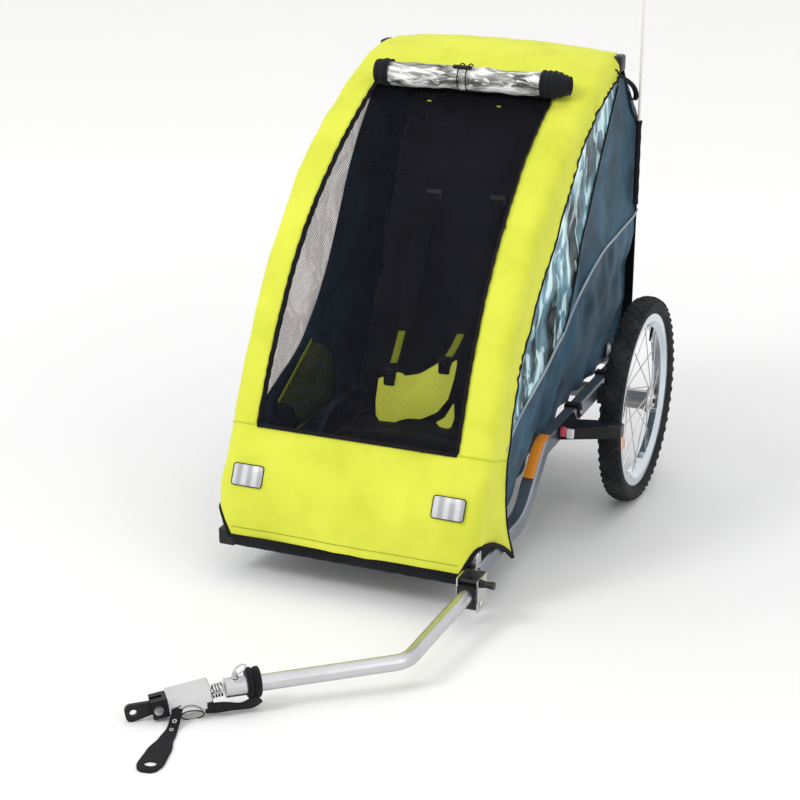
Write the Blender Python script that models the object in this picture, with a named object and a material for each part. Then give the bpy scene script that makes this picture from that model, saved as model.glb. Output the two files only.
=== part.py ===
"""Child bike trailer: a folding cabin on two spoked wheels, with a bent tow arm and a sprung hitch.

Metres, +Z up. The nose points along -Y and the trailer's left side is +X. Every shape is written in the body
frame, whose origin is on the ground under the axle of a level trailer. One empty then tips that frame nose-down
about the axle until the hitch touches the ground, and moves it so that the origin is the centre of the footprint.
"""

import math

import bmesh
import bpy
from mathutils import Matrix, Vector

# Clearances
GAP = 0.0003
RUN = 0.0005
LAYER = 0.001
SEWN = 0.0004

# Wheels
WHEEL_RADIUS = 0.200
WHEEL_PLANE = 0.310
TYRE_WIDTH = 0.042
TYRE_HEIGHT = 0.040
RIM_WIDTH = 0.029
RIM_DEPTH = 0.017
RIM_WALL = 0.0028
FLANGE_RADIUS = 0.024
FLANGE_SPREAD = 0.044
HUB_SHELL_RADIUS = 0.0190
HUB_WIDTH = 0.058
SPOKE_COUNT = 20
SPOKE_RADIUS = 0.0011
SPOKE_LEAN = math.radians(42)
WHEEL_SEGMENTS = 48
HUB_SEGMENTS = 24
AXLE_RADIUS = 0.006
AXLE_COLLAR_RADIUS = 0.0095
AXLE_CAP_RADIUS = 0.0125
AXLE_CAP_WIDTH = 0.003
BUTTON_RADIUS = 0.0045
BUTTON_STAND = 0.003
BUTTON_DEPTH = 0.008

# Side rails
RAIL_X = 0.222
RAIL_WIDTH = 0.025
RAIL_HEIGHT = 0.030
RAIL_WALL = 0.002
RAIL_CHAMFER = 0.003
RAIL_REAR_Y = 0.215
RAIL_HIGH_Z = 0.206
RAIL_LOW_Z = 0.1105
RAIL_BEND_REAR_Y = -0.325
RAIL_BEND_FRONT_Y = -0.435
RAIL_FRONT_Y = -0.6735
RAIL_REAR_BEND_RADIUS = 0.040
RAIL_FRONT_BEND_RADIUS = 0.100

# Cross members, floor and end pieces
CORNER_SIZE = 0.030
CORNER_DEPTH = 0.0265
PLUG_THICKNESS = 0.004
SPIGOT_LENGTH = 0.015
CROSSBAR_RADIUS = 0.0125
CROSSBAR_WALL = 0.0015
BEAM_SIZE = 0.025
BEAM_WALL = 0.002
REAR_BAR_Y = 0.195
FLOOR_THICKNESS = 0.003
FLOOR_HALF_WIDTH = 0.193
RECEIVER_DEPTH = 0.027
RECEIVER_HALF_LENGTH = 0.020
RECEIVER_HALF_HEIGHT = 0.016

# Cage
HOOP_RADIUS = 0.011
HOOP_WALL = 0.0015
HOOP_SIDES = 8
HOOP_CORNER_RADIUS = 0.060
FRONT_HOOP_X = 0.2185
FRONT_PIVOT_Y = -0.672
FRONT_PIVOT_Z = 0.145
REAR_HOOP_X = 0.1925
REAR_PIVOT_Y = 0.150
REAR_PIVOT_Z = 0.245
REAR_HOOP_TOP_Y = 0.180
REAR_HOOP_TOP_Z = 0.700
HOOP_FOOT = 0.009
HOOP_SLACK = 0.004
BRACKET_PLATE = 0.0025
BRACKET_LENGTH = 0.026
BOLT_RADIUS = 0.004
BOLT_HEAD_RADIUS = 0.0075
BOLT_HEAD = 0.004

# Skins: the cover's outer line in side view, from its hem over the window to the back edge of the roof
COVER_HALF_WIDTH = 0.2395
COVER_THICKNESS = 0.0025
COVER_CORNER = 0.025
ROOF_CORNER = 0.032
HEM = (-0.705, 0.118)
SEAM = (-0.645, 0.305)
COVER_LINE = [
    HEM,
    (-0.692, 0.205),
    SEAM,
    (-0.598, 0.400),
    (-0.552, 0.480),
    (-0.490, 0.562),
    (-0.416, 0.640),
    (-0.332, 0.706),
    (-0.243, 0.762),
    (-0.150, 0.807),
    (-0.070, 0.841),
    (0.000, 0.857),
    (0.060, 0.857),
]
FLAP_LINE = [
    (-0.520, 0.078),
    (-0.562, 0.190),
    (-0.553, 0.270),
    (-0.528, 0.350),
    (-0.495, 0.420),
    (-0.437, 0.490),
    (-0.366, 0.560),
    (-0.290, 0.636),
    (-0.204, 0.712),
    (-0.130, 0.756),
    (-0.060, 0.790),
    (-0.010, 0.804),
    (0.026, 0.814),
]
ARCH_LINE = [(-0.690, 0.163), (-0.656, 0.156), (-0.616, 0.142), (-0.564, 0.112), (-0.515, 0.072)]
ARCH_FRONT_LINE = [(0.210, 0.100), (0.215, 0.124), (0.228, 0.150), (0.236, 0.163), (0.246, 0.163)]
SEAM_INDEX = 2
WINDOW_TOP_INDEX = 9
WINDOW_HALF_BOTTOM = 0.182
WINDOW_HALF_TOP = 0.170
ROOF_CROWN = 0.009
MESH_OVERLAP = 0.008
MESH_THICKNESS = 0.001
PANEL_THICKNESS = 0.002
WINDOW_REAR_LINE = [
    (0.031, 0.797),
    (-0.040, 0.710),
    (-0.125, 0.593),
    (-0.163, 0.554),
    (-0.197, 0.484),
    (-0.238, 0.415),
]
PIPING_LINE = [(-0.352, 0.369), (-0.499, 0.325), (-0.580, 0.290)]
PANEL_BOTTOM_LINE = [
    (-0.580, 0.185),
    (-0.487, 0.192),
    (-0.415, 0.224),
    (-0.283, 0.236),
    (-0.147, 0.246),
    (0.070, 0.247),
]
PANEL_REAR_LINE = [
    (0.160, 0.330),
    (0.168, 0.395),
    (0.202, 0.463),
    (0.204, 0.557),
    (0.190, 0.690),
    (0.146, 0.738),
    (0.060, 0.822),
]
REAR_PANEL_LINE = [
    (0.0620, 0.8520),
    (0.150, 0.7440),
    (0.203, 0.7000),
    (0.213, 0.5570),
    (0.213, 0.4200),
    (0.213, 0.2450),
]
REAR_PANEL_HALF_WIDTH = 0.2280
BAND_BOTTOM_Z = 0.1005
BAND_HALF_WIDTH = 0.2065

# Seat and things inside
SEAT_HALF_WIDTH = 0.150
BACK_FOOT = (-0.3060, 0.2365)
BACK_TOP = (-0.034, 0.785)
BACK_THICKNESS = 0.014
BASE_FRONT_Y = -0.485
BASE_REAR_Y = -0.3045
BASE_TOP_Z = 0.230
BASE_CROWN = 0.010
CROTCH_HALF_WIDTH = 0.070
CROTCH_HEIGHT = 0.105
CROTCH_Y = -0.392
CROTCH_THICKNESS = 0.006
POCKET_DEPTH = 0.030
POCKET_LINE = [(-0.351, 0.362), (-0.495, 0.287), (-0.483, 0.250), (-0.430, 0.228), (-0.364, 0.242)]

# Rolled rain cover
ROLL_RADIUS = 0.024
ROLL_SIDES = 16
ROLL_START_X = -0.165
ROLL_END_X = 0.205
ROLL_INDEX = 9

# Wheel guards
GUARD_ROOT_FRONT_Y = -(WHEEL_RADIUS + 0.062)
GUARD_ROOT_REAR_Y = -(WHEEL_RADIUS + 0.006)
GUARD_TIP_FRONT_Y = -(WHEEL_RADIUS + 0.048)
GUARD_TIP_REAR_Y = -(WHEEL_RADIUS + 0.014)
GUARD_TIP_X = 0.346
GUARD_ROOT_LOW_Z = 0.198
GUARD_ROOT_HIGH_Z = 0.224
GUARD_TIP_LOW_Z = 0.210
GUARD_TIP_HIGH_Z = 0.235

# Flag pole
POLE_RADIUS = 0.003
POLE_X = 0.2425
POLE_Y = 0.168
POLE_FOOT_Z = 0.560
POLE_TOP_Z = 1.300
POCKET_TOP_Z = 0.705
POCKET_FOOT_Z = 0.540
POCKET_RADIUS = 0.0055
FERRULE_Z = 1.000
FERRULE_RADIUS = 0.0045
FERRULE_LENGTH = 0.050
PENNANT_LENGTH = 0.240
PENNANT_HEIGHT = 0.180
PENNANT_THICKNESS = 0.001

# Tow arm
ARM_RADIUS = 0.0127
ARM_WALL = 0.0020
ARM_SIDES = 16
ARM_X = 0.2390
ARM_Z = 0.1050
ARM_START_Y = -0.716
ARM_BEND_X = 0.2335
ARM_BEND_Y = -0.985
ARM_BEND_RADIUS = 0.045
ARM_HEADING = math.atan2(-0.638, -0.770)
ARM_LEG = 0.266
HINGE_Y = -0.727
HINGE_Z = 0.087
HINGE_LUG_RADIUS = 0.013
LUG_STEPS = 8
COLLAR_WIDTH = 0.032
COLLAR_FRONT_Y = -0.747
COLLAR_TOP_Z = 0.1205
CHEEK_FRONT_Y = -0.742
CHEEK_LOW_Z = 0.0765
CHEEK_HIGH_Z = 0.1330
WEB_LOW_Z = 0.0925
LOCK_PIN_RADIUS = 0.004
LOCK_PIN_Y = -0.731
LOCK_KNOB_RADIUS = 0.0075
LOCK_KNOB_LENGTH = 0.024

# Hitch head, measured along the tow arm's own line
HEAD_DROOP = math.radians(7.3)
SLEEVE_RADIUS = 0.0150
SLEEVE_LENGTH = 0.032
SPRING_LENGTH = 0.021
SPRING_RADIUS = 0.0100
SPRING_WIRE = 0.0016
SPRING_TURNS = 4
SPRING_POINTS = 10
CORE_RADIUS = 0.004
BLOCK_LENGTH = 0.065
BLOCK_SIZE = 0.034
CLEVIS_LENGTH = 0.024
CLEVIS_WIDTH = 0.026
CLEVIS_HEIGHT = 0.030
CLEVIS_SLOT_BACK = 0.006
CLEVIS_PIN_SHARE = 0.62
PLATE_THICKNESS = 0.006
PLATE_REACH = 0.048
PLATE_HEIGHT = 0.028
PLATE_CORNER = 0.009
PLATE_HOLE_FROM_END = 0.012
PLATE_HOLE_RADIUS = 0.0055
PIN_RADIUS = 0.004
PIN_HEAD = 0.003
RING_PIN_COLLAR = 0.0055
RING_PIN_COLLAR_HEIGHT = 0.003
RING_PIN_RADIUS = 0.0035
RING_PIN_HEIGHT = 0.009
RING_WIRE = 0.0013
RING_RADIUS = 0.010
RING_LEAN = math.radians(60)
CUFF_RADIUS = 0.0220
CUFF_RISE = 0.0030
CUFF_LENGTH = 0.020
STRAP_NECK = 0.016
STRAP_LOOP = 0.038
STRAP_SHEET = 0.0016
STRAP_REACH = 0.172
STRAP_LIFT = 0.0006
STRAP_HEADING = math.atan2(-0.925, 0.380)
STRAP_HOLE_RADIUS = 0.006

PI = math.pi
SIDE = {1: "left", -1: "right"}


class Anchor:
    """An empty with its place in the body frame, so that pieces hung on it are still written in body places."""

    def __init__(self, name, parent=None, point=(0.0, 0.0, 0.0)):
        self.point = Vector(point)
        self.empty = bpy.data.objects.new(name, None)
        bpy.context.scene.collection.objects.link(self.empty)
        if parent:
            self.empty.parent = parent.empty
            self.empty.location = self.point - parent.point


def clear_scene():
    for obj in list(bpy.data.objects):
        bpy.data.objects.remove(obj, do_unlink=True)


def finish(name, colour, roughness, metallic=0.0, alpha=1.0):
    """A plain Principled material."""
    material = bpy.data.materials.new(name)
    material.use_nodes = True
    shader = material.node_tree.nodes["Principled BSDF"]
    shader.inputs["Base Color"].default_value = (*colour, 1.0)
    shader.inputs["Roughness"].default_value = roughness
    shader.inputs["Metallic"].default_value = metallic
    shader.inputs["Alpha"].default_value = alpha
    return material


def place(name, bm, material, anchor, origin=None):
    """Turn a bmesh written in body places into an object hung on an anchor, with its own origin."""
    origin = Vector(anchor.point if origin is None else origin)
    bmesh.ops.recalc_face_normals(bm, faces=bm.faces)
    bmesh.ops.translate(bm, verts=bm.verts, vec=-origin)
    mesh = bpy.data.meshes.new(name)
    bm.to_mesh(mesh)
    bm.free()
    mesh.shade_smooth()
    mesh.set_sharp_from_angle(angle=math.radians(35))
    mesh.materials.append(material)
    obj = bpy.data.objects.new(name, mesh)
    bpy.context.scene.collection.objects.link(obj)
    obj.parent = anchor.empty
    obj.location = origin - anchor.point
    return obj


def cut(obj, bm, anchor, operation="DIFFERENCE"):
    """Cut a shape out of an object, or join it on."""
    cutter = place(obj.name + "_" + operation.lower(), bm, obj.data.materials[0], anchor)
    cutter.hide_render = True
    cutter.display_type = "WIRE"
    boolean = obj.modifiers.new("boolean", "BOOLEAN")
    boolean.operation = operation
    boolean.object = cutter
    boolean.solver = "EXACT"
    return cutter


def join_rings(bm, first, second):
    count = len(first)
    for i in range(count):
        j = (i + 1) % count
        bm.faces.new((first[i], first[j], second[j], second[i]))


def loft(sections, closed=False):
    """A solid through rings of points that all have the same count."""
    bm = bmesh.new()
    rings = [[bm.verts.new(point) for point in section] for section in sections]
    for first, second in zip(rings, rings[1:]):
        join_rings(bm, first, second)
    if closed:
        join_rings(bm, rings[-1], rings[0])
    else:
        bm.faces.new(rings[0])
        bm.faces.new(rings[-1])
    return bm


def hollow_loft(outer, inner):
    """A tube between two sets of rings, open at both ends."""
    bm = bmesh.new()
    skins = []
    for sections in (outer, inner):
        rings = [[bm.verts.new(point) for point in section] for section in sections]
        for first, second in zip(rings, rings[1:]):
            join_rings(bm, first, second)
        skins.append(rings)
    for end in (0, -1):
        join_rings(bm, skins[0][end], skins[1][end])
    return bm


def prism(outline, axis, low, high):
    """An outline pushed along one axis: (y, z) points along X, (x, z) along Y, or (x, y) along Z."""

    def spot(pair, level):
        pair = list(pair)
        pair.insert(axis, level)
        return pair

    return loft([[spot(p, low) for p in outline], [spot(p, high) for p in outline]])


def box(low, high):
    (x0, y0, z0), (x1, y1, z1) = low, high
    return prism([(x0, y0), (x1, y0), (x1, y1), (x0, y1)], 2, z0, z1)


def circle(radius, sides, centre=(0.0, 0.0), start=0.0):
    steps = [start + 2 * PI * i / sides for i in range(sides)]
    return [(centre[0] + radius * math.cos(a), centre[1] + radius * math.sin(a)) for a in steps]


def turned_x(profile, centre, sides):
    """A closed profile of (along X, radius) points turned round a line along X. A radius of 0 closes an end."""
    cx, cy, cz = centre
    bm = bmesh.new()
    rings = []
    for along, radius in profile:
        if radius == 0:
            rings.append([bm.verts.new((cx + along, cy, cz))])
        else:
            spots = circle(radius, sides, (cy, cz), -PI / 2)
            rings.append([bm.verts.new((cx + along, y, z)) for y, z in spots])
    pairs = list(zip(rings, rings[1:]))
    if len(rings[0]) > 1:
        pairs.append((rings[-1], rings[0]))
    for first, second in pairs:
        if len(first) == 1 or len(second) == 1:
            tip, ring = (first[0], second) if len(first) == 1 else (second[0], first)
            for i in range(sides):
                bm.faces.new((tip, ring[i], ring[(i + 1) % sides]))
        else:
            join_rings(bm, first, second)
    return bm


def rod_x(x0, x1, radius, y, z, sides=16):
    return prism(circle(radius, sides, (y, z)), 0, min(x0, x1), max(x0, x1))


def rounded_path(points, radii, steps=6):
    """A polyline whose corners are arcs."""
    points = [Vector(p) for p in points]
    path = [points[0]]
    for a, b, c, radius in zip(points, points[1:], points[2:], radii):
        back = (a - b).normalized()
        ahead = (c - b).normalized()
        half = back.angle(ahead) / 2
        start = b + back * radius / math.tan(half)
        centre = b + (back + ahead).normalized() * radius / math.sin(half)
        arm = start - centre
        turn = PI - 2 * half
        normal = arm.cross(b + ahead * radius / math.tan(half) - centre).normalized()
        path += [centre + Matrix.Rotation(turn * i / steps, 3, normal) @ arm for i in range(steps + 1)]
    path.append(points[-1])
    return path


def smooth_line(points, steps):
    """A curve through all the points, with an even number of steps in each span."""
    points = [Vector(p) for p in points]
    padded = [2 * points[0] - points[1], *points, 2 * points[-1] - points[-2]]
    line = []
    for p0, p1, p2, p3 in zip(padded, padded[1:], padded[2:], padded[3:]):
        for i in range(steps):
            t = i / steps
            slope = (p2 - p0) * t
            bend = (2 * p0 - 5 * p1 + 4 * p2 - p3) * t * t
            twist = (3 * p1 - p0 - 3 * p2 + p3) * t**3
            line.append(p1 + 0.5 * (slope + bend + twist))
    line.append(points[-1])
    return line


def sections_along(path, outline, across):
    """Copies of a flat outline standing square on a path, carried along without twist."""
    path = [Vector(p) for p in path]
    across = Vector(across).normalized()
    rings = []
    for i, point in enumerate(path):
        ahead = (path[min(i + 1, len(path) - 1)] - path[max(i - 1, 0)]).normalized()
        across = (across - ahead * across.dot(ahead)).normalized()
        up = across.cross(ahead)
        rings.append([point + across * a + up * b for a, b in outline])
    return rings


def tube(path, radius, sides, across=(1, 0, 0), wall=0.0):
    outer = sections_along(path, circle(radius, sides), across)
    if not wall:
        return loft(outer)
    return hollow_loft(outer, sections_along(path, circle(radius - wall, sides), across))


def chamfered(width, height, cut_size):
    a, b, c = width / 2, height / 2, cut_size
    return [(a - c, b), (a, b - c), (a, c - b), (a - c, -b), (c - a, -b), (-a, c - b), (-a, b - c), (c - a, b)]


def nose_down_angle():
    """The turn about the axle that brings the first point of the hitch head down to the ground."""
    turns = []
    for y, z in head_low_points():
        reach = math.hypot(y, WHEEL_RADIUS - z)
        turns.append(math.asin(WHEEL_RADIUS / reach) - math.atan2(WHEEL_RADIUS - z, -y))
    return min(turns)


def ground_z(y):
    """Height of the ground in the tipped body frame."""
    tip = nose_down_angle()
    return WHEEL_RADIUS - (WHEEL_RADIUS + y * math.sin(tip)) / math.cos(tip)


def heading():
    return Vector((math.cos(ARM_HEADING), math.sin(ARM_HEADING), 0))


def sideways():
    return Vector((-math.sin(ARM_HEADING), math.cos(ARM_HEADING), 0))


def arm_end():
    """The centre of the tow tube's open end."""
    return Vector((ARM_BEND_X, ARM_BEND_Y, ARM_Z)) + heading() * ARM_LEG


def spring_start():
    return arm_end() + heading() * (SLEEVE_LENGTH / 2)


def head_axis():
    return heading() * math.cos(HEAD_DROOP) - Vector((0, 0, math.sin(HEAD_DROOP)))


def head_up():
    return heading() * math.sin(HEAD_DROOP) + Vector((0, 0, math.cos(HEAD_DROOP)))


def head_spot(along, aside=0.0, up=0.0):
    """A place on the hitch head: along its line from the back of the spring, to its side, and up."""
    return spring_start() + head_axis() * along + sideways() * aside + head_up() * up


def block_start():
    return SPRING_LENGTH + 2 * GAP


def pin_place():
    return block_start() + BLOCK_LENGTH + GAP + CLEVIS_LENGTH * CLEVIS_PIN_SHARE


def head_low_points():
    block = head_spot(block_start() + BLOCK_LENGTH, 0, -BLOCK_SIZE / 2)
    plate = head_spot(pin_place() + PLATE_REACH - PLATE_CORNER, 0, -PLATE_HEIGHT / 2)
    clevis = head_spot(pin_place() + CLEVIS_LENGTH * (1 - CLEVIS_PIN_SHARE), 0, -CLEVIS_HEIGHT / 2)
    return [(p.y, p.z) for p in (block, plate, clevis)]


def rail_path(lift=0.0, start_y=RAIL_REAR_Y, end_y=RAIL_FRONT_Y):
    corners = [
        (0, start_y, RAIL_HIGH_Z + lift),
        (0, RAIL_BEND_REAR_Y, RAIL_HIGH_Z + lift),
        (0, RAIL_BEND_FRONT_Y, RAIL_LOW_Z + lift),
        (0, end_y, RAIL_LOW_Z + lift),
    ]
    return rounded_path(corners, (RAIL_REAR_BEND_RADIUS - lift, RAIL_FRONT_BEND_RADIUS + lift))


def rail(side, anchor, looks):
    shift = Vector((side * RAIL_X, 0, 0))
    path = [p + shift for p in rail_path()]
    outer = chamfered(RAIL_WIDTH, RAIL_HEIGHT, RAIL_CHAMFER)
    inner = chamfered(RAIL_WIDTH - 2 * RAIL_WALL, RAIL_HEIGHT - 2 * RAIL_WALL, RAIL_CHAMFER - RAIL_WALL / 2)
    bm = hollow_loft(sections_along(path, outer, (1, 0, 0)), sections_along(path, inner, (1, 0, 0)))
    obj = place("rail_" + SIDE[side], bm, looks["anodised"], anchor)
    cut(obj, rod_x(side * (RAIL_X - RAIL_WIDTH), side * (RAIL_X + RAIL_WIDTH),
                   AXLE_RADIUS + RUN, 0, WHEEL_RADIUS, 24), anchor)


def corner_block(side, anchor, looks):
    half = CORNER_SIZE / 2
    back = RAIL_FRONT_Y - GAP
    x = side * RAIL_X
    obj = place("front_corner_" + SIDE[side],
                box((x - half, back - CORNER_DEPTH, RAIL_LOW_Z - half), (x + half, back, RAIL_LOW_Z + half)),
                looks["black_plastic"], anchor)
    bevel(obj, 0.002)
    cut(obj, spigot(x, back - LAYER, back + SPIGOT_LENGTH, RAIL_LOW_Z), anchor, "UNION")


def spigot(x, y0, y1, z):
    half_x = RAIL_WIDTH / 2 - RAIL_WALL - GAP
    half_z = RAIL_HEIGHT / 2 - RAIL_WALL - GAP
    trim = 0.002
    outline = [(x + a, z + b) for a, b in chamfered(2 * half_x, 2 * half_z, trim)]
    return prism(outline, 1, min(y0, y1), max(y0, y1))


def bevel(obj, width, segments=1):
    modifier = obj.modifiers.new("bevel", "BEVEL")
    modifier.width = width
    modifier.segments = segments
    modifier.limit_method = "ANGLE"
    modifier.angle_limit = math.radians(40)


def rear_plug(side, anchor, looks):
    x = side * RAIL_X
    half_x = RAIL_WIDTH / 2
    half_z = RAIL_HEIGHT / 2
    front = RAIL_REAR_Y + GAP
    obj = place("rear_plug_" + SIDE[side],
                box((x - half_x, front, RAIL_HIGH_Z - half_z),
                    (x + half_x, front + PLUG_THICKNESS, RAIL_HIGH_Z + half_z)),
                looks["black_plastic"], anchor)
    cut(obj, spigot(x, front - SPIGOT_LENGTH, front + LAYER, RAIL_HIGH_Z), anchor, "UNION")


def cross_tube(name, y, z, half_length, anchor, looks):
    spots = [(-half_length, y, z), (half_length, y, z)]
    bm = tube(spots, CROSSBAR_RADIUS, ARM_SIDES, (0, 1, 0), CROSSBAR_WALL)
    place(name, bm, looks["anodised"], anchor)


def cross_members(anchor, looks):
    inner_face = RAIL_X - RAIL_WIDTH / 2 - GAP
    corner_y = RAIL_FRONT_Y - GAP - CORNER_DEPTH / 2
    cross_tube("front_crossbar", corner_y, RAIL_LOW_Z, RAIL_X - CORNER_SIZE / 2 - GAP, anchor, looks)
    cross_tube("rear_crossbar", REAR_BAR_Y, RAIL_HIGH_Z - FLOOR_THICKNESS, inner_face, anchor, looks)
    middle = floor_lift() - FLOOR_THICKNESS / 2 - GAP - BEAM_SIZE / 2 + RAIL_HIGH_Z
    outer = chamfered(BEAM_SIZE, BEAM_SIZE, 0.002)
    inner = chamfered(BEAM_SIZE - 2 * BEAM_WALL, BEAM_SIZE - 2 * BEAM_WALL, 0.001)
    path = [(-inner_face, 0, middle), (inner_face, 0, middle)]
    bm = hollow_loft(sections_along(path, outer, (0, 1, 0)), sections_along(path, inner, (0, 1, 0)))
    place("axle_beam", bm, looks["anodised"], anchor)


def floor_lift():
    """The floor's height over the rails' centre line, so that its top lies just under the rails' top."""
    return RAIL_HEIGHT / 2 - FLOOR_THICKNESS / 2 - LAYER


def floor_panel(anchor, looks):
    half = FLOOR_HALF_WIDTH
    front = RAIL_FRONT_Y - GAP - CORNER_DEPTH / 2 + CROSSBAR_RADIUS + LAYER
    path = rail_path(floor_lift(), REAR_BAR_Y - CROSSBAR_RADIUS - LAYER, front)
    outline = [(-half, -FLOOR_THICKNESS / 2), (half, -FLOOR_THICKNESS / 2),
               (half, FLOOR_THICKNESS / 2), (-half, FLOOR_THICKNESS / 2)]
    place("floor_panel", loft(sections_along(path, outline, (1, 0, 0))), looks["black_fabric"], anchor)


def rounded_rectangle(half_a, half_b, corner, centre=(0.0, 0.0), steps=3):
    outline = []
    for quarter, (sa, sb) in enumerate(((1, 1), (-1, 1), (-1, -1), (1, -1))):
        for i in range(steps + 1):
            angle = quarter * PI / 2 + PI / 2 * i / steps
            outline.append((centre[0] + sa * (half_a - corner) + corner * math.cos(angle),
                            centre[1] + sb * (half_b - corner) + corner * math.sin(angle)))
    return outline


def axle_receiver(side, anchor, looks):
    inner = RAIL_X + RAIL_WIDTH / 2 + GAP
    x0, x1 = sorted((side * inner, side * (inner + RECEIVER_DEPTH)))
    outline = rounded_rectangle(RECEIVER_HALF_LENGTH, RECEIVER_HALF_HEIGHT, 0.006, (0, WHEEL_RADIUS + LAYER))
    obj = place("axle_receiver_" + SIDE[side], prism(outline, 0, x0, x1), looks["black_plastic"], anchor)
    cut(obj, rod_x(x0 - LAYER, x1 + LAYER, AXLE_RADIUS + GAP, 0, WHEEL_RADIUS, 24), anchor)


def tyre_profile():
    """Half widths and radii of the tyre, from its neck in the rim out to the tread."""
    top = WHEEL_RADIUS
    neck = top - TYRE_HEIGHT
    half = TYRE_WIDTH / 2
    seat = RIM_WIDTH / 2 - RIM_WALL - GAP
    side = [
        (seat, neck),
        (seat, neck + 0.009),
        (half * 0.92, neck + TYRE_HEIGHT * 0.38),
        (half, neck + TYRE_HEIGHT * 0.60),
        (half * 0.90, neck + TYRE_HEIGHT * 0.84),
        (half * 0.52, top - 0.001),
    ]
    return side + [(0.0, top)] + [(-a, r) for a, r in reversed(side)]


def rim_profile():
    half = RIM_WIDTH / 2
    bed = WHEEL_RADIUS - TYRE_HEIGHT - GAP
    lip = bed + 0.0078
    return [
        (half - RIM_WALL, bed),
        (half - RIM_WALL, lip),
        (half, lip),
        (half, bed - RIM_DEPTH * 0.35),
        (half * 0.45, bed - RIM_DEPTH),
        (-half * 0.45, bed - RIM_DEPTH),
        (-half, bed - RIM_DEPTH * 0.35),
        (-half, lip),
        (RIM_WALL - half, lip),
        (RIM_WALL - half, bed),
    ]


def hub_profile():
    """The hub, from its inboard end to its outboard end, round the axle's bore."""
    bore = AXLE_RADIUS + GAP
    end = HUB_WIDTH / 2
    flange = FLANGE_SPREAD / 2
    plate = 0.0025
    return [
        (-end, bore),
        (-end, 0.013),
        (-flange - plate, HUB_SHELL_RADIUS * 0.86),
        (-flange - plate, FLANGE_RADIUS),
        (-flange + plate, FLANGE_RADIUS),
        (-flange + plate, HUB_SHELL_RADIUS),
        (flange - plate, HUB_SHELL_RADIUS),
        (flange - plate, FLANGE_RADIUS),
        (flange + plate, FLANGE_RADIUS),
        (flange + plate, HUB_SHELL_RADIUS * 0.95),
        (end, HUB_SHELL_RADIUS * 0.84),
        (end, bore),
    ]


def rim_inner_radius():
    return WHEEL_RADIUS - TYRE_HEIGHT - GAP - RIM_DEPTH


def spokes(side):
    """All the spokes of one wheel, each a thin closed rod from a flange to just inside the rim."""
    bm = bmesh.new()
    per_flange = SPOKE_COUNT // 2
    for i in range(SPOKE_COUNT):
        outboard = 1 if i % 2 else -1
        lean = SPOKE_LEAN * outboard
        angle = 2 * PI * (i // 2) / per_flange + outboard * PI / SPOKE_COUNT
        root = FLANGE_RADIUS - 0.003
        tip = rim_inner_radius() * math.cos(PI / WHEEL_SEGMENTS) - GAP
        start = Vector((outboard * FLANGE_SPREAD / 2, root * math.cos(angle - lean), root * math.sin(angle - lean)))
        end = Vector((outboard * 0.003, tip * math.cos(angle), tip * math.sin(angle)))
        ahead = (end - start).normalized()
        end -= ahead * GAP
        across = ahead.cross(Vector((1, 0, 0))).normalized()
        rod = sections_along([start, end], circle(SPOKE_RADIUS, 6), across)
        rings = [[bm.verts.new((side * (WHEEL_PLANE + p.x), p.y, WHEEL_RADIUS + p.z)) for p in ring] for ring in rod]
        join_rings(bm, rings[0], rings[1])
        bm.faces.new(rings[0])
        bm.faces.new(rings[1])
    return bm


def mirrored(profile, side):
    return [(side * a, r) for a, r in profile]


def wheel(side, anchor, looks):
    centre = (side * WHEEL_PLANE, 0, WHEEL_RADIUS)
    hub_anchor = Anchor("wheel_axis_" + SIDE[side], anchor, centre)
    name = SIDE[side]
    place("tyre_" + name, turned_x(mirrored(tyre_profile(), side), centre, WHEEL_SEGMENTS),
          looks["tyre"], hub_anchor)
    place("rim_" + name, turned_x(mirrored(rim_profile(), side), centre, WHEEL_SEGMENTS), looks["chrome"], hub_anchor)
    hub = place("hub_" + name, turned_x(mirrored(hub_profile(), side), centre, HUB_SEGMENTS), looks["steel"], hub_anchor)
    cut(hub, spokes(side), hub_anchor, "UNION")


def hub_end():
    return WHEEL_PLANE + HUB_WIDTH / 2


def receiver_end():
    return RAIL_X + RAIL_WIDTH / 2 + GAP + RECEIVER_DEPTH


def wheel_axle(side, anchor, looks):
    """The removable axle, with a collar inboard of the hub, a cap outboard and a socket for its button."""
    inner_end = RAIL_X - RAIL_WIDTH / 2 - SPIGOT_LENGTH
    collar = (receiver_end() + GAP, WHEEL_PLANE - HUB_WIDTH / 2 - GAP)
    cap = (hub_end() + GAP, hub_end() + GAP + AXLE_CAP_WIDTH)
    socket = BUTTON_RADIUS + GAP
    profile = [
        (inner_end, 0),
        (inner_end, AXLE_RADIUS),
        (collar[0], AXLE_RADIUS),
        (collar[0], AXLE_COLLAR_RADIUS),
        (collar[1], AXLE_COLLAR_RADIUS),
        (collar[1], AXLE_RADIUS),
        (cap[0], AXLE_RADIUS),
        (cap[0], AXLE_CAP_RADIUS),
        (cap[1], AXLE_CAP_RADIUS - 0.001),
        (cap[1], socket),
        (cap[1] - BUTTON_DEPTH - BUTTON_STAND, socket),
        (cap[1] - BUTTON_DEPTH - BUTTON_STAND, 0),
    ]
    centre = (0, 0, WHEEL_RADIUS)
    place("axle_" + SIDE[side], turned_x(mirrored(profile, side), centre, 24), looks["steel"], anchor)
    button_x = side * (cap[1] + BUTTON_STAND)
    button = [(0, 0), (0, BUTTON_RADIUS - 0.001), (-0.001, BUTTON_RADIUS), (-BUTTON_DEPTH, BUTTON_RADIUS),
              (-BUTTON_DEPTH, 0)]
    spot = (button_x, 0, WHEEL_RADIUS)
    press = Anchor("axle_button_axis_" + SIDE[side], anchor, spot)
    place("axle_button_" + SIDE[side], turned_x(mirrored(button, side), spot, 16), looks["black_plastic"], press)


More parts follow.
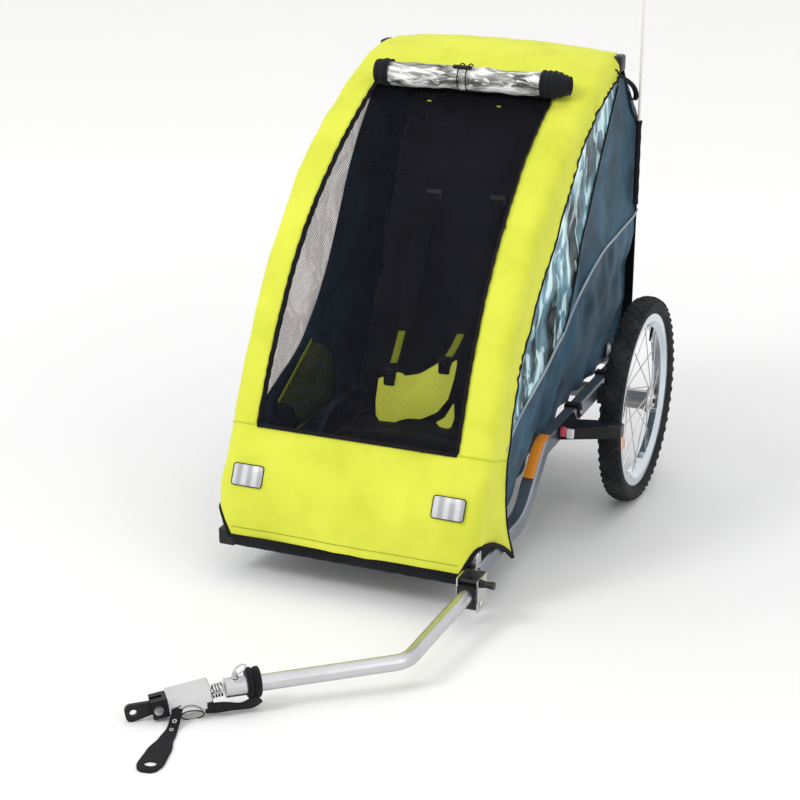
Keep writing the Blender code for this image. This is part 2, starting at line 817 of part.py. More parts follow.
def cover_normals(line):
    normals = []
    for i in range(len(line)):
        ahead = (line[min(i + 1, len(line) - 1)] - line[max(i - 1, 0)]).normalized()
        normals.append(Vector((-ahead.y, ahead.x)))
    return normals


def offset_line(points, depth):
    """The cover's line moved inwards."""
    line = [Vector(p) for p in points]
    return [p - n * depth for p, n in zip(line, cover_normals(line))]


def hoop_depth():
    return COVER_THICKNESS + HOOP_SLACK + HOOP_RADIUS


def front_hoop(anchor, looks):
    """A tube that follows the cover's line on both sides and crosses under the roof."""
    inner = offset_line(COVER_LINE, hoop_depth())
    rise = [p for p in inner if p.y > FRONT_PIVOT_Z + 0.10]
    top = rise.pop()
    leg = [Vector((FRONT_PIVOT_Y, FRONT_PIVOT_Z - HOOP_FOOT)), Vector((FRONT_PIVOT_Y + 0.003, FRONT_PIVOT_Z + 0.05)),
           *rise]
    line = smooth_line(leg, 2)
    last = rise[-1] + (top - rise[-1]) * 0.3
    corner = Vector((0, last.x, last.y))
    left = [Vector((FRONT_HOOP_X, p.x, p.y)) for p in line[:-4]]
    bend = rounded_path([left[-1], corner + Vector((FRONT_HOOP_X, 0, 0)), corner + Vector((0, 0, 0))],
                        [HOOP_CORNER_RADIUS], 8)
    half = left + bend[1:-1]
    path = half + [Vector((-p.x, p.y, p.z)) for p in reversed(half)]
    obj = place("front_hoop", tube(path, HOOP_RADIUS, HOOP_SIDES, (1, 0, 0), HOOP_WALL), looks["anodised"], anchor)
    cut(obj, rod_x(-COVER_HALF_WIDTH, COVER_HALF_WIDTH, BOLT_RADIUS + GAP, FRONT_PIVOT_Y, FRONT_PIVOT_Z), anchor)


def rear_hoop(anchor, looks):
    foot = Vector((0, REAR_PIVOT_Y, REAR_PIVOT_Z))
    top = Vector((0, REAR_HOOP_TOP_Y, REAR_HOOP_TOP_Z))
    rise = (top - foot).normalized()
    side = Vector((REAR_HOOP_X, 0, 0))
    corners = [foot - rise * HOOP_FOOT + side, top + side, top - side, foot - rise * HOOP_FOOT - side]
    path = rounded_path(corners, [HOOP_CORNER_RADIUS, HOOP_CORNER_RADIUS], 8)
    obj = place("rear_hoop", tube(path, HOOP_RADIUS, HOOP_SIDES, (1, 0, 0), HOOP_WALL), looks["anodised"], anchor)
    cut(obj, rod_x(-COVER_HALF_WIDTH, COVER_HALF_WIDTH, BOLT_RADIUS + GAP, REAR_PIVOT_Y, REAR_PIVOT_Z), anchor)


def pivot_bracket(name, side, hoop_x, y, z, seat_z, anchor, looks):
    """A folded plate that stands on the rail, with a cheek on each side of the hoop's foot."""
    rail_edge = RAIL_X + RAIL_WIDTH / 2
    inner = hoop_x - HOOP_RADIUS - RUN
    outer = hoop_x + HOOP_RADIUS + RUN
    base = seat_z + BRACKET_PLATE
    top = z + HOOP_RADIUS + 0.002
    edge = max(rail_edge, outer + BRACKET_PLATE)
    outline = [(inner - BRACKET_PLATE, seat_z), (edge, seat_z), (edge, base)]
    if edge > outer + BRACKET_PLATE:
        outline.append((outer + BRACKET_PLATE, base))
    outline += [(outer + BRACKET_PLATE, top), (outer, top), (outer, base), (inner, base), (inner, top),
                (inner - BRACKET_PLATE, top)]
    outline = [(side * a, b) for a, b in outline]
    obj = place(name, prism(outline, 1, y - BRACKET_LENGTH / 2, y + BRACKET_LENGTH / 2), looks["steel"], anchor)
    rivet = bolt_profile(inner - BRACKET_PLATE, outer + BRACKET_PLATE, -LAYER / 2)
    cut(obj, turned_x(mirrored(rivet, side), (0, y, z), 12), anchor, "UNION")


def bolt_profile(inner, outer, clear):
    """A pivot bolt, with a low head outboard and a nut inboard, each a small distance clear of the cheek."""
    return [
        (inner - clear - BOLT_HEAD, 0),
        (inner - clear - BOLT_HEAD, BOLT_HEAD_RADIUS),
        (inner - clear, BOLT_HEAD_RADIUS),
        (inner - clear, BOLT_RADIUS),
        (outer + clear, BOLT_RADIUS),
        (outer + clear, BOLT_HEAD_RADIUS),
        (outer + clear + BOLT_HEAD * 0.6, BOLT_HEAD_RADIUS * 0.7),
        (outer + clear + BOLT_HEAD * 0.6, 0),
    ]


def cage_brackets(anchor, looks):
    for side in (1, -1):
        pivot_bracket("front_pivot_bracket_" + SIDE[side], side, FRONT_HOOP_X, FRONT_PIVOT_Y, FRONT_PIVOT_Z,
                      RAIL_LOW_Z + RAIL_HEIGHT / 2 + GAP, anchor, looks)
        pivot_bracket("rear_pivot_bracket_" + SIDE[side], side, REAR_HOOP_X, REAR_PIVOT_Y, REAR_PIVOT_Z,
                      RAIL_HIGH_Z + RAIL_HEIGHT / 2 + GAP, anchor, looks)


def window_half(index):
    share = (index - SEAM_INDEX) / (WINDOW_TOP_INDEX - SEAM_INDEX)
    share = min(max(share, 0.0), 1.0)
    return WINDOW_HALF_BOTTOM + (WINDOW_HALF_TOP - WINDOW_HALF_BOTTOM) * share


def cover(anchor, looks):
    """The lime skin: lower panel, window frame, roof and the two side flaps, as one sheet with a window."""
    line = [Vector(p) for p in COVER_LINE]
    normals = cover_normals(line)
    w = COVER_HALF_WIDTH
    rows = []
    for i, (spot, normal, flap) in enumerate(zip(line, normals, FLAP_LINE)):
        edge = Vector(flap)
        crown = ROOF_CROWN if i > WINDOW_TOP_INDEX else 0.0
        r = ROOF_CORNER if i > WINDOW_TOP_INDEX + 1 else COVER_CORNER
        lean = 1 - math.cos(PI / 4)
        inner = spot - normal * r
        half = [
            (0.0, spot + normal * crown),
            (window_half(i), spot + normal * crown * 0.3),
            (w - r, spot),
            (w - r * lean, spot - normal * r * lean),
            (w, inner),
            (w, (inner + edge) / 2),
            (w, edge),
        ]
        rows.append([(-x, p.x, p.y) for x, p in reversed(half[1:])] + [(x, p.x, p.y) for x, p in half])
    bm = bmesh.new()
    grid = [[bm.verts.new(p) for p in row] for row in rows]
    middle = len(rows[0]) // 2
    for i in range(len(grid) - 1):
        for j in range(len(grid[0]) - 1):
            in_window = SEAM_INDEX <= i < WINDOW_TOP_INDEX and j in (middle - 1, middle)
            if not in_window:
                bm.faces.new((grid[i][j], grid[i][j + 1], grid[i + 1][j + 1], grid[i + 1][j]))
    obj = place("front_cover", bm, looks["lime"], anchor)
    thicken(obj, anchor, COVER_THICKNESS)
    for side in (1, -1):
        corner_arch(obj, side, anchor)


def corner_arch(obj, side, anchor):
    """Cut the cover away round one front corner of the frame, in front and then at the side."""
    low_z = FLAP_LINE[0][1] - COVER_CORNER
    out = COVER_HALF_WIDTH + COVER_CORNER
    front_y = HEM[0] - COVER_CORNER
    side_x = COVER_HALF_WIDTH - COVER_CORNER
    front = [(ARCH_FRONT_LINE[0][0], low_z), *ARCH_FRONT_LINE, (out, ARCH_LINE[0][1]), (out, low_z)]
    front = [(side * x, z) for x, z in front]
    cut(obj, prism(front, 1, front_y, ARCH_LINE[0][0]), anchor)
    flank = [(ARCH_LINE[0][0] - LAYER, ARCH_LINE[0][1]), *ARCH_LINE, (ARCH_LINE[-1][0], low_z),
             (ARCH_LINE[0][0] - LAYER, low_z)]
    x0, x1 = sorted((side * side_x, side * out))
    cut(obj, prism(flank, 0, x0, x1), anchor)


def thicken(obj, anchor, thickness):
    """Give a sheet its thickness on its inner side."""
    cabin_middle = Vector((0, BACK_FOOT[0], SEAM[1])) - anchor.point
    face = max(obj.data.polygons, key=lambda f: f.area)
    outward = (face.center - cabin_middle).dot(face.normal) > 0
    modifier = obj.modifiers.new("solidify", "SOLIDIFY")
    modifier.thickness = thickness
    modifier.offset = -1 if outward else 1
    modifier.use_even_offset = True


def front_mesh(anchor, looks):
    """The net behind the window, one flat sheet a little larger than it."""
    line = offset_line(COVER_LINE, COVER_THICKNESS + SEWN)
    rows = []
    spots = line[SEAM_INDEX:WINDOW_TOP_INDEX + 1]
    first = spots[0] + (spots[0] - spots[1]).normalized() * MESH_OVERLAP
    last = spots[-1] + (spots[-1] - spots[-2]).normalized() * MESH_OVERLAP
    for i, spot in enumerate([first, *spots[1:-1], last]):
        half = window_half(SEAM_INDEX + i) + MESH_OVERLAP
        rows.append([(-half, spot.x, spot.y), (half, spot.x, spot.y)])
    bm = bmesh.new()
    grid = [[bm.verts.new(p) for p in row] for row in rows]
    for low, high in zip(grid, grid[1:]):
        bm.faces.new((low[0], low[1], high[1], high[0]))
    thicken(place("front_mesh", bm, looks["net"], anchor), anchor, MESH_THICKNESS)


def hem_band(anchor, looks):
    front = HEM[0]
    top = HEM[1] - LAYER
    outline = [(front, BAND_BOTTOM_Z), (front + PANEL_THICKNESS, BAND_BOTTOM_Z),
               (front + PANEL_THICKNESS, top), (front, top)]
    shift = LAYER / 2
    outline = [(y + shift, z) for y, z in outline]
    place("hem_band", prism(outline, 0, -BAND_HALF_WIDTH, BAND_HALF_WIDTH), looks["black_fabric"], anchor)


def side_skins(side, anchor, looks):
    """The black side panel and, inside its edge, the clear window."""
    outer = COVER_HALF_WIDTH - COVER_THICKNESS - SEWN
    x0 = outer - PANEL_THICKNESS
    panel = WINDOW_REAR_LINE + PIPING_LINE + PANEL_BOTTOM_LINE + PANEL_REAR_LINE
    low, high = sorted((side * x0, side * outer))
    place("side_panel_" + SIDE[side], prism(panel, 0, low, high), looks["black_fabric"], anchor)
    x1 = x0 - SEWN
    low, high = sorted((side * x1, side * (x1 - MESH_THICKNESS)))
    hem = [Vector(p) for p in FLAP_LINE[3:]]
    under = [p + Vector((-0.012, 0.010)) for p in hem]
    rear = [Vector(p) + Vector((0.008, -0.004)) for p in WINDOW_REAR_LINE]
    foot = [Vector((-0.352, 0.361)), Vector((-0.499, 0.317))]
    outline = under + [Vector((0.034, 0.812))] + rear + foot
    place("side_window_" + SIDE[side], prism(outline, 0, low, high), looks["clear"], anchor)


def rear_panel(anchor, looks):
    line = [Vector(p) for p in REAR_PANEL_LINE]
    normals = cover_normals(line)
    inner = [p - n * PANEL_THICKNESS for p, n in zip(line, normals)]
    outline = line + list(reversed(inner))
    bm = prism(outline, 0, -REAR_PANEL_HALF_WIDTH, REAR_PANEL_HALF_WIDTH)
    place("rear_panel", bm, looks["black_fabric"], anchor)


def seat(anchor, looks):
    """The seat base stands on the floor's slope, and the back is a padded sling."""
    floor_top = [(p.y, p.z + FLOOR_THICKNESS / 2 + LAYER) for p in rail_path(floor_lift())]
    under = [p for p in floor_top if BASE_FRONT_Y < p[0] < BASE_REAR_Y]
    low_front = (BASE_FRONT_Y, RAIL_LOW_Z + floor_lift() + FLOOR_THICKNESS / 2 + 2 * LAYER)
    low_rear = (BASE_REAR_Y, RAIL_HIGH_Z + floor_lift() + FLOOR_THICKNESS / 2 + LAYER)
    sections = []
    steps = 8
    for i in range(steps + 1):
        share = 2 * i / steps - 1
        crown = BASE_CROWN * (1 - share * share)
        depth = BASE_FRONT_Y + 0.012
        middle = (BASE_FRONT_Y + BASE_REAR_Y) / 2
        top = [(depth, BASE_TOP_Z - 0.004 + crown * 0.6), (middle, BASE_TOP_Z + crown),
               (BASE_REAR_Y - 0.006, BASE_TOP_Z + 0.004 + crown * 0.4), (BASE_REAR_Y, BASE_TOP_Z - 0.010)]
        ring = [low_front, (BASE_FRONT_Y, BASE_TOP_Z - 0.016), *top, low_rear, *under]
        sections.append([(SEAT_HALF_WIDTH * share, y, z) for y, z in ring])
    place("seat_base", loft(sections), looks["black_fabric"], anchor)
    back(anchor, looks)


def back_line():
    foot, top = Vector(BACK_FOOT), Vector(BACK_TOP)
    return foot, top, (top - foot).normalized()


def back(anchor, looks):
    foot, top, rise = back_line()
    normal = Vector((-rise.y, rise.x))
    sections = []
    steps = 8
    for i in range(steps + 1):
        share = 2 * i / steps - 1
        sag = 0.010 * (1 - share * share)
        front = [foot + normal * BACK_THICKNESS * 0.3, (foot + top) / 2 + normal * (BACK_THICKNESS / 2 - sag),
                 top + normal * BACK_THICKNESS * 0.3]
        rear = [top - normal * BACK_THICKNESS * 0.3, (foot + top) / 2 - normal * (BACK_THICKNESS / 2 + sag),
                foot - normal * BACK_THICKNESS * 0.3]
        sections.append([((SEAT_HALF_WIDTH + 0.012) * share, p.x, p.y) for p in front + rear])
    place("seat_back", loft(sections), looks["black_fabric"], anchor)


def harness(anchor, looks):
    """The lime panel between the legs, which stands up from the seat."""
    z0 = BASE_TOP_Z + BASE_CROWN + GAP
    x = CROTCH_HALF_WIDTH
    outline = [(-x * 0.55, z0), (x * 0.55, z0), (x, z0 + CROTCH_HEIGHT * 0.45), (x * 0.95, z0 + CROTCH_HEIGHT),
               (-x * 0.95, z0 + CROTCH_HEIGHT), (-x, z0 + CROTCH_HEIGHT * 0.45)]
    place("harness_panel", prism(outline, 1, CROTCH_Y - CROTCH_THICKNESS, CROTCH_Y), looks["lime"], anchor)


def storage_pocket(anchor, looks):
    """A shallow net pocket on the inside of the right wall, open at its top."""
    wall = COVER_HALF_WIDTH - COVER_THICKNESS - PANEL_THICKNESS - MESH_THICKNESS - 3 * SEWN
    sheet = 0.002
    x0, x1 = -wall, -wall + POCKET_DEPTH
    obj = place("storage_pocket", prism(POCKET_LINE, 0, x0, x1), looks["net"], anchor)
    first, second = Vector(POCKET_LINE[0]), Vector(POCKET_LINE[1])
    lift = Vector((-0.3, 0.6)) * 0.05
    centre = sum((Vector(p) for p in POCKET_LINE), Vector((0, 0))) / len(POCKET_LINE)
    shrunk = [centre + (Vector(p) - centre) * (1 - 2.5 * sheet / 0.05) for p in POCKET_LINE[2:]]
    hollow = [first + lift + (second - first) * 0.06, second + lift - (second - first) * 0.06, *shrunk]
    cut(obj, prism(hollow, 0, x0 + sheet, x1 - sheet), anchor)


def rain_roll(anchor, looks):
    """The rain cover, rolled up above the window and held by a toggle."""
    line = [Vector(p) for p in COVER_LINE]
    normal = cover_normals(line)[ROLL_INDEX]
    spot = line[ROLL_INDEX] + normal * (ROLL_RADIUS + GAP)
    sections = []
    for x, size in ((ROLL_START_X, 0.82), (ROLL_START_X + 0.006, 0.97), (0.0, 0.98), (ROLL_END_X - 0.006, 1.0),
                    (ROLL_END_X, 0.85)):
        sections.append([(x, y, z) for y, z in circle(ROLL_RADIUS * size, ROLL_SIDES, (spot.x, spot.y))])
    place("rain_cover_roll", loft(sections), looks["silver_film"], anchor)


def wheel_guard(side, anchor, looks):
    root = RAIL_X + RAIL_WIDTH / 2 + GAP
    rows = (
        (root, GUARD_ROOT_FRONT_Y, GUARD_ROOT_REAR_Y + 0.040, GUARD_ROOT_LOW_Z, GUARD_ROOT_HIGH_Z),
        (root + 0.018, GUARD_ROOT_FRONT_Y, GUARD_ROOT_REAR_Y, GUARD_ROOT_LOW_Z + 0.003, GUARD_ROOT_HIGH_Z + 0.001),
        (GUARD_TIP_X - 0.022, GUARD_TIP_FRONT_Y, GUARD_TIP_REAR_Y, GUARD_TIP_LOW_Z - 0.002, GUARD_TIP_HIGH_Z),
        (GUARD_TIP_X, GUARD_TIP_FRONT_Y + 0.006, GUARD_TIP_REAR_Y - 0.006, GUARD_TIP_LOW_Z, GUARD_TIP_HIGH_Z),
    )
    sections = []
    for x, y0, y1, z0, z1 in rows:
        flat = rounded_rectangle((y1 - y0) / 2, (z1 - z0) / 2, 0.005, ((y0 + y1) / 2, (z0 + z1) / 2), 2)
        sections.append([(side * x, y, z) for y, z in flat])
    place("wheel_guard_" + SIDE[side], loft(sections), looks["black_plastic"], anchor)


def flag(anchor, looks):
    """The pole stands in a narrow pocket at the rear left corner and carries a plain pennant."""
    spot = (POLE_X, POLE_Y)
    sides = 12
    outer = [[(x, y, z) for x, y in circle(POCKET_RADIUS, sides, spot)] for z in (POCKET_FOOT_Z, POCKET_TOP_Z)]
    bore = POLE_RADIUS + RUN
    inner = [[(x, y, z) for x, y in circle(bore, sides, spot)] for z in (POCKET_FOOT_Z, POCKET_TOP_Z)]
    place("flag_pocket", hollow_loft(outer, inner), looks["black_fabric"], anchor)
    pole_anchor = Anchor("flag_pole_axis", anchor, (POLE_X, POLE_Y, POLE_FOOT_Z))
    steps = [(POLE_FOOT_Z, POLE_RADIUS), (FERRULE_Z, POLE_RADIUS), (FERRULE_Z, FERRULE_RADIUS),
             (FERRULE_Z + FERRULE_LENGTH, FERRULE_RADIUS), (FERRULE_Z + FERRULE_LENGTH, POLE_RADIUS),
             (POLE_TOP_Z, POLE_RADIUS)]
    rings = [[(x, y, z) for x, y in circle(radius, sides, spot)] for z, radius in steps]
    place("flag_pole", loft(rings), looks["fibre"], pole_anchor)
    y0 = POLE_Y + POLE_RADIUS + GAP
    top = POLE_TOP_Z - 0.01
    outline = [(y0, top), (y0 + PENNANT_LENGTH, top - PENNANT_HEIGHT / 2), (y0, top - PENNANT_HEIGHT)]
    half = PENNANT_THICKNESS / 2
    place("pennant", prism(outline, 0, POLE_X - half, POLE_X + half), looks["orange"], pole_anchor)


def arm_bracket(anchor, looks):
    """Two cheeks and a web on the front of the left corner block, with the hinge bolt through them."""
    back = RAIL_FRONT_Y - GAP - CORNER_DEPTH - GAP
    inner = ARM_X - COLLAR_WIDTH / 2 - RUN
    outer = ARM_X + COLLAR_WIDTH / 2 + RUN
    web = back - BRACKET_PLATE
    plate = BRACKET_PLATE
    outline = [(inner - plate, CHEEK_FRONT_Y), (inner, CHEEK_FRONT_Y), (inner, web), (outer, web),
               (outer, CHEEK_FRONT_Y), (outer + plate, CHEEK_FRONT_Y), (outer + plate, back), (inner - plate, back)]
    obj = place("arm_bracket", prism(outline, 2, CHEEK_LOW_Z, CHEEK_HIGH_Z), looks["steel"], anchor)
    cut(obj, box((inner - LAYER / 4, web - LAYER, CHEEK_LOW_Z - LAYER), (outer + LAYER / 4, back + LAYER, WEB_LOW_Z)),
        anchor)
    cut(obj, rod_x(inner - 0.01, outer + 0.01, BOLT_RADIUS + GAP, HINGE_Y, HINGE_Z), anchor)
    cut(obj, rod_x(inner - 0.01, outer + 0.01, LOCK_PIN_RADIUS + GAP, LOCK_PIN_Y, lock_pin_z()), anchor)
    hinge = turned_x(bolt_profile(inner - plate, outer + plate, GAP), (0, HINGE_Y, HINGE_Z), 12)
    place("arm_hinge_bolt", hinge, looks["steel"], anchor)
    lock_pin(inner, outer, anchor, looks)


def lock_pin_z():
    return COLLAR_TOP_Z + LOCK_PIN_RADIUS + GAP


def lock_pin(inner, outer, anchor, looks):
    """The pin that crosses the bracket above the collar, with a knob outboard."""
    z = lock_pin_z()
    knob = outer + BRACKET_PLATE + GAP
    profile = [
        (inner - BRACKET_PLATE - 0.003, 0),
        (inner - BRACKET_PLATE - 0.003, LOCK_PIN_RADIUS),
        (knob, LOCK_PIN_RADIUS),
        (knob, LOCK_KNOB_RADIUS),
        (knob + LOCK_KNOB_LENGTH * 0.4, LOCK_KNOB_RADIUS * 0.7),
        (knob + LOCK_KNOB_LENGTH, LOCK_KNOB_RADIUS * 0.9),
        (knob + LOCK_KNOB_LENGTH, 0),
    ]
    pin_anchor = Anchor("lock_pin_axis", anchor, (knob, LOCK_PIN_Y, z))
    place("lock_pin", turned_x(profile, (0, LOCK_PIN_Y, z), 16), looks["black_plastic"], pin_anchor)


def arm_path():
    bend = Vector((ARM_BEND_X, ARM_BEND_Y, ARM_Z))
    return rounded_path([(ARM_X, ARM_START_Y, ARM_Z), bend, arm_end()], [ARM_BEND_RADIUS], 8)


def tow_arm(anchor, looks):
    place("tow_arm_tube", tube(arm_path(), ARM_RADIUS, ARM_SIDES, (1, 0, 0), ARM_WALL), looks["anodised"], anchor)
    arm_collar(anchor, looks)
    arm_sleeve(anchor, looks)
    strap_cuff(anchor, looks)
    ring_pin(anchor, looks)


def arm_collar(anchor, looks):
    """The black block clamped on the tube's end, rounded about the hinge so that it folds under the lock pin."""
    back = RAIL_FRONT_Y - 2 * GAP - CORNER_DEPTH - BRACKET_PLATE - LAYER
    lug = [(HINGE_Y + HINGE_LUG_RADIUS * math.cos(a), HINGE_Z + HINGE_LUG_RADIUS * math.sin(a))
           for a in [PI + PI * i / LUG_STEPS for i in range(LUG_STEPS + 1)]]
    swing = COLLAR_TOP_Z - HINGE_Z
    first = math.acos((back - HINGE_Y) / swing)
    steps = 6
    shoulder = [first + (PI / 2 - first) * i / steps for i in range(steps + 1)]
    outline = [*lug, *((HINGE_Y + swing * math.cos(a), HINGE_Z + swing * math.sin(a)) for a in shoulder),
               (COLLAR_FRONT_Y, COLLAR_TOP_Z), (COLLAR_FRONT_Y, HINGE_Z + HINGE_LUG_RADIUS / 3)]
    x0 = ARM_X - COLLAR_WIDTH / 2
    obj = place("arm_collar", prism(outline, 0, x0, x0 + COLLAR_WIDTH), looks["black_plastic"], anchor)
    cut(obj, rod_x(x0 - LAYER, x0 + COLLAR_WIDTH + LAYER, BOLT_RADIUS + GAP, HINGE_Y, HINGE_Z), anchor)
    start = Vector((ARM_X, ARM_START_Y + GAP, ARM_Z))
    ahead = Vector((ARM_BEND_X, ARM_BEND_Y, ARM_Z)) - start
    cut(obj, tube([start, start + ahead.normalized() * 0.06], ARM_RADIUS + GAP, ARM_SIDES), anchor)


def arm_sleeve(anchor, looks):
    """The end cap of the tube: a sleeve outside it, closed in front."""
    start = arm_end() - heading() * SLEEVE_LENGTH / 2
    obj = place("arm_sleeve", tube([start, spring_start() - heading() * GAP], SLEEVE_RADIUS, ARM_SIDES, sideways()),
                looks["anodised"], anchor)
    cut(obj, tube([start - heading() * LAYER, arm_end() + heading() * GAP], ARM_RADIUS + GAP, ARM_SIDES, sideways()),
        anchor)


def strap_cuff(anchor, looks):
    start = arm_end() - heading() * (SLEEVE_LENGTH / 2 + CUFF_LENGTH + LAYER)
    spots = [start, start + heading() * CUFF_LENGTH]
    outer = sections_along([p + Vector((0, 0, CUFF_RISE)) for p in spots], circle(CUFF_RADIUS, ARM_SIDES), sideways())
    inner = sections_along(spots, circle(ARM_RADIUS + GAP, ARM_SIDES), sideways())
    place("strap_cuff", hollow_loft(outer, inner), looks["black_fabric"], anchor)


def ring_pin(anchor, looks):
    """A pin that stands on the sleeve with a wire ring through its head."""
    foot = arm_end() + Vector((0, 0, SLEEVE_RADIUS + GAP))
    pin_anchor = Anchor("ring_pin_axis", anchor, foot)
    collar, stem, collar_high = RING_PIN_COLLAR, RING_PIN_RADIUS, RING_PIN_COLLAR_HEIGHT
    steps = [(0, collar), (collar_high, collar), (collar_high, stem), (RING_PIN_HEIGHT, stem)]
    rings = [[(x, y, foot.z + up) for x, y in circle(radius, 12, (foot.x, foot.y))] for up, radius in steps]
    obj = place("ring_pin", loft(rings), looks["steel"], pin_anchor)
    top = foot + Vector((0, 0, RING_PIN_HEIGHT - LAYER))
    rise = Vector((0, 0, math.cos(RING_LEAN))) - heading() * math.sin(RING_LEAN)
    cut(obj, wire_ring(top, rise, sideways(), RING_RADIUS), pin_anchor, "UNION")


def wire_ring(start, rise, across, radius):
    """A closed wire loop that leaves its starting point along one direction and is spread along another."""
    normal = rise.cross(across)
    centre = start + rise * (radius - RING_WIRE)
    sides = 16
    rings = []
    for i in range(sides):
        angle = 2 * PI * i / sides
        out = rise * math.sin(angle) + across * math.cos(angle)
        rings.append([centre + out * (radius + a) + normal * b for a, b in circle(RING_WIRE, 6)])
    return loft(rings, closed=True)


def hitch_spring(anchor, looks):
    """The coupling's coil, one unbroken wire."""
    count = SPRING_TURNS * SPRING_POINTS
    start = SPRING_WIRE + GAP
    run = SPRING_LENGTH - 2 * start
    path = []
    for i in range(count + 1):
        angle = 2 * PI * i / SPRING_POINTS
        path.append(head_spot(start + run * i / count, SPRING_RADIUS * math.cos(angle),
                              SPRING_RADIUS * math.sin(angle)))
    gap = min((a - b).length for i, a in enumerate(path) for b in path[i + SPRING_POINTS // 2:]) - 2 * SPRING_WIRE
    print("least gap of the coil to itself, mm:", round(gap * 1000, 2))
    place("hitch_spring", tube(path, SPRING_WIRE, 6, head_axis()), looks["steel"], anchor)


def head_box(along0, along1, half_side, half_up, up=0.0):
    outline = [(-half_side, up - half_up), (half_side, up - half_up), (half_side, up + half_up),
               (-half_side, up + half_up)]
    return loft([[head_spot(along, a, b) for a, b in outline] for along in (along0, along1)])


def hitch_head(anchor, looks):
    start = block_start()
    end = start + BLOCK_LENGTH
    block = place("hitch_block", head_box(start, end, BLOCK_SIZE / 2, BLOCK_SIZE / 2), looks["anodised"], anchor)
    bevel(block, 0.0015)
    core = [head_spot(0.005), head_spot(start + LAYER)]
    cut(block, tube(core, CORE_RADIUS, 12, sideways()), anchor, "UNION")
    clevis(end + GAP, anchor, looks)
    axle_plate(anchor, looks)
    clevis_pin(anchor, looks)


def head_rod(along, aside0, aside1, radius, up=0.0, sides=16):
    outline = circle(radius, sides)
    return loft([[head_spot(along + a, aside, up + b) for a, b in outline] for aside in (aside0, aside1)])


def clevis(start, anchor, looks):
    """A black fork in front of the block."""
    half = CLEVIS_WIDTH / 2
    slot = PLATE_THICKNESS / 2 + RUN
    end = start + CLEVIS_LENGTH
    obj = place("hitch_clevis", head_box(start, end, half, CLEVIS_HEIGHT / 2), looks["black_plastic"], anchor)
    cut(obj, head_box(start + CLEVIS_SLOT_BACK, end + LAYER, slot, CLEVIS_HEIGHT / 2 + LAYER), anchor)
    cut(obj, head_rod(pin_place(), -half - LAYER, half + LAYER, PIN_RADIUS + GAP), anchor)


def axle_plate(anchor, looks):
    """The plate that goes on the bike's axle, upright in the clevis, with its hole at the free end."""
    reach = PLATE_REACH
    high = PLATE_HEIGHT / 2
    r = PLATE_CORNER
    outline = []
    for start, centre in ((-PI / 2, (reach - r, r - high)), (0, (reach - r, high - r))):
        outline += [(centre[0] + r * math.cos(start + PI / 8 * i), centre[1] + r * math.sin(start + PI / 8 * i))
                    for i in range(5)]
    back = -CLEVIS_LENGTH * CLEVIS_PIN_SHARE + 0.007
    outline += [(back, high * 0.62), (back, -high * 0.62)]
    half = PLATE_THICKNESS / 2
    along = pin_place()
    sections = [[head_spot(along + a, aside, b) for a, b in outline] for aside in (-half, half)]
    obj = place("axle_plate", loft(sections), looks["black_plastic"], anchor)
    cut(obj, head_rod(along, -half - LAYER, half + LAYER, PIN_RADIUS + GAP), anchor)
    hole = along + reach - PLATE_HOLE_FROM_END
    cut(obj, head_rod(hole, -half - LAYER, half + LAYER, PLATE_HOLE_RADIUS, sides=20), anchor)


def clevis_pin(anchor, looks):
    half = CLEVIS_WIDTH / 2
    along = pin_place()
    head_side = half + GAP
    pin_anchor = Anchor("clevis_pin_axis", anchor, head_spot(along, head_side))
    head, rim = PIN_HEAD, PIN_RADIUS + PIN_HEAD
    steps = [(-half - head, PIN_RADIUS), (head_side, PIN_RADIUS), (head_side, rim), (head_side + head, rim)]
    sections = [[head_spot(along + a, aside, b) for a, b in circle(radius, 12)] for aside, radius in steps]
    place("clevis_pin", loft(sections), looks["steel"], pin_anchor)


def safety_strap(anchor, looks):
    """Webbing that leaves the block's side and lies on the ground, widening to its looped end."""
    start = head_spot(block_start() + BLOCK_LENGTH * 0.80, BLOCK_SIZE / 2 + SEWN + STRAP_NECK * 0.15, 0)
    away = Vector((math.cos(STRAP_HEADING), math.sin(STRAP_HEADING), 0))
    across = Vector((away.y, -away.x, 0))
    half = STRAP_SHEET / 2
    last = 10
    path = []
    for i in range(last + 1):
        share = i / last
        spot = start + away * STRAP_REACH * share
        low = ground_z(spot.y) + STRAP_LIFT + half
        spot.z = low + (start.z - low) * max(0.0, 1 - share / 0.25) ** 2
        path.append(spot)
    rings = []
    for i, spot in enumerate(path):
        share = i / last
        ahead = (path[min(i + 1, last)] - path[max(i - 1, 0)]).normalized()
        up = across.cross(ahead).normalized()
        rise = min(max((share - 0.25) / 0.45, 0.0), 1.0)
        width = STRAP_NECK + (STRAP_LOOP - STRAP_NECK) * rise * rise * (3 - 2 * rise)
        width *= 0.62 if i == last else 1.0
        rings.append([spot + across * a * width / 2 + up * b for a, b in
                      ((-1, -half), (1, -half), (1, half), (-1, half))])
    obj = place("safety_strap", loft(rings), looks["black_fabric"], anchor)
    hole = path[-2]
    outline = circle(STRAP_HOLE_RADIUS, 12, (hole.x, hole.y))
    cut(obj, prism(outline, 2, hole.z - 4 * half, hole.z + 4 * half), anchor)


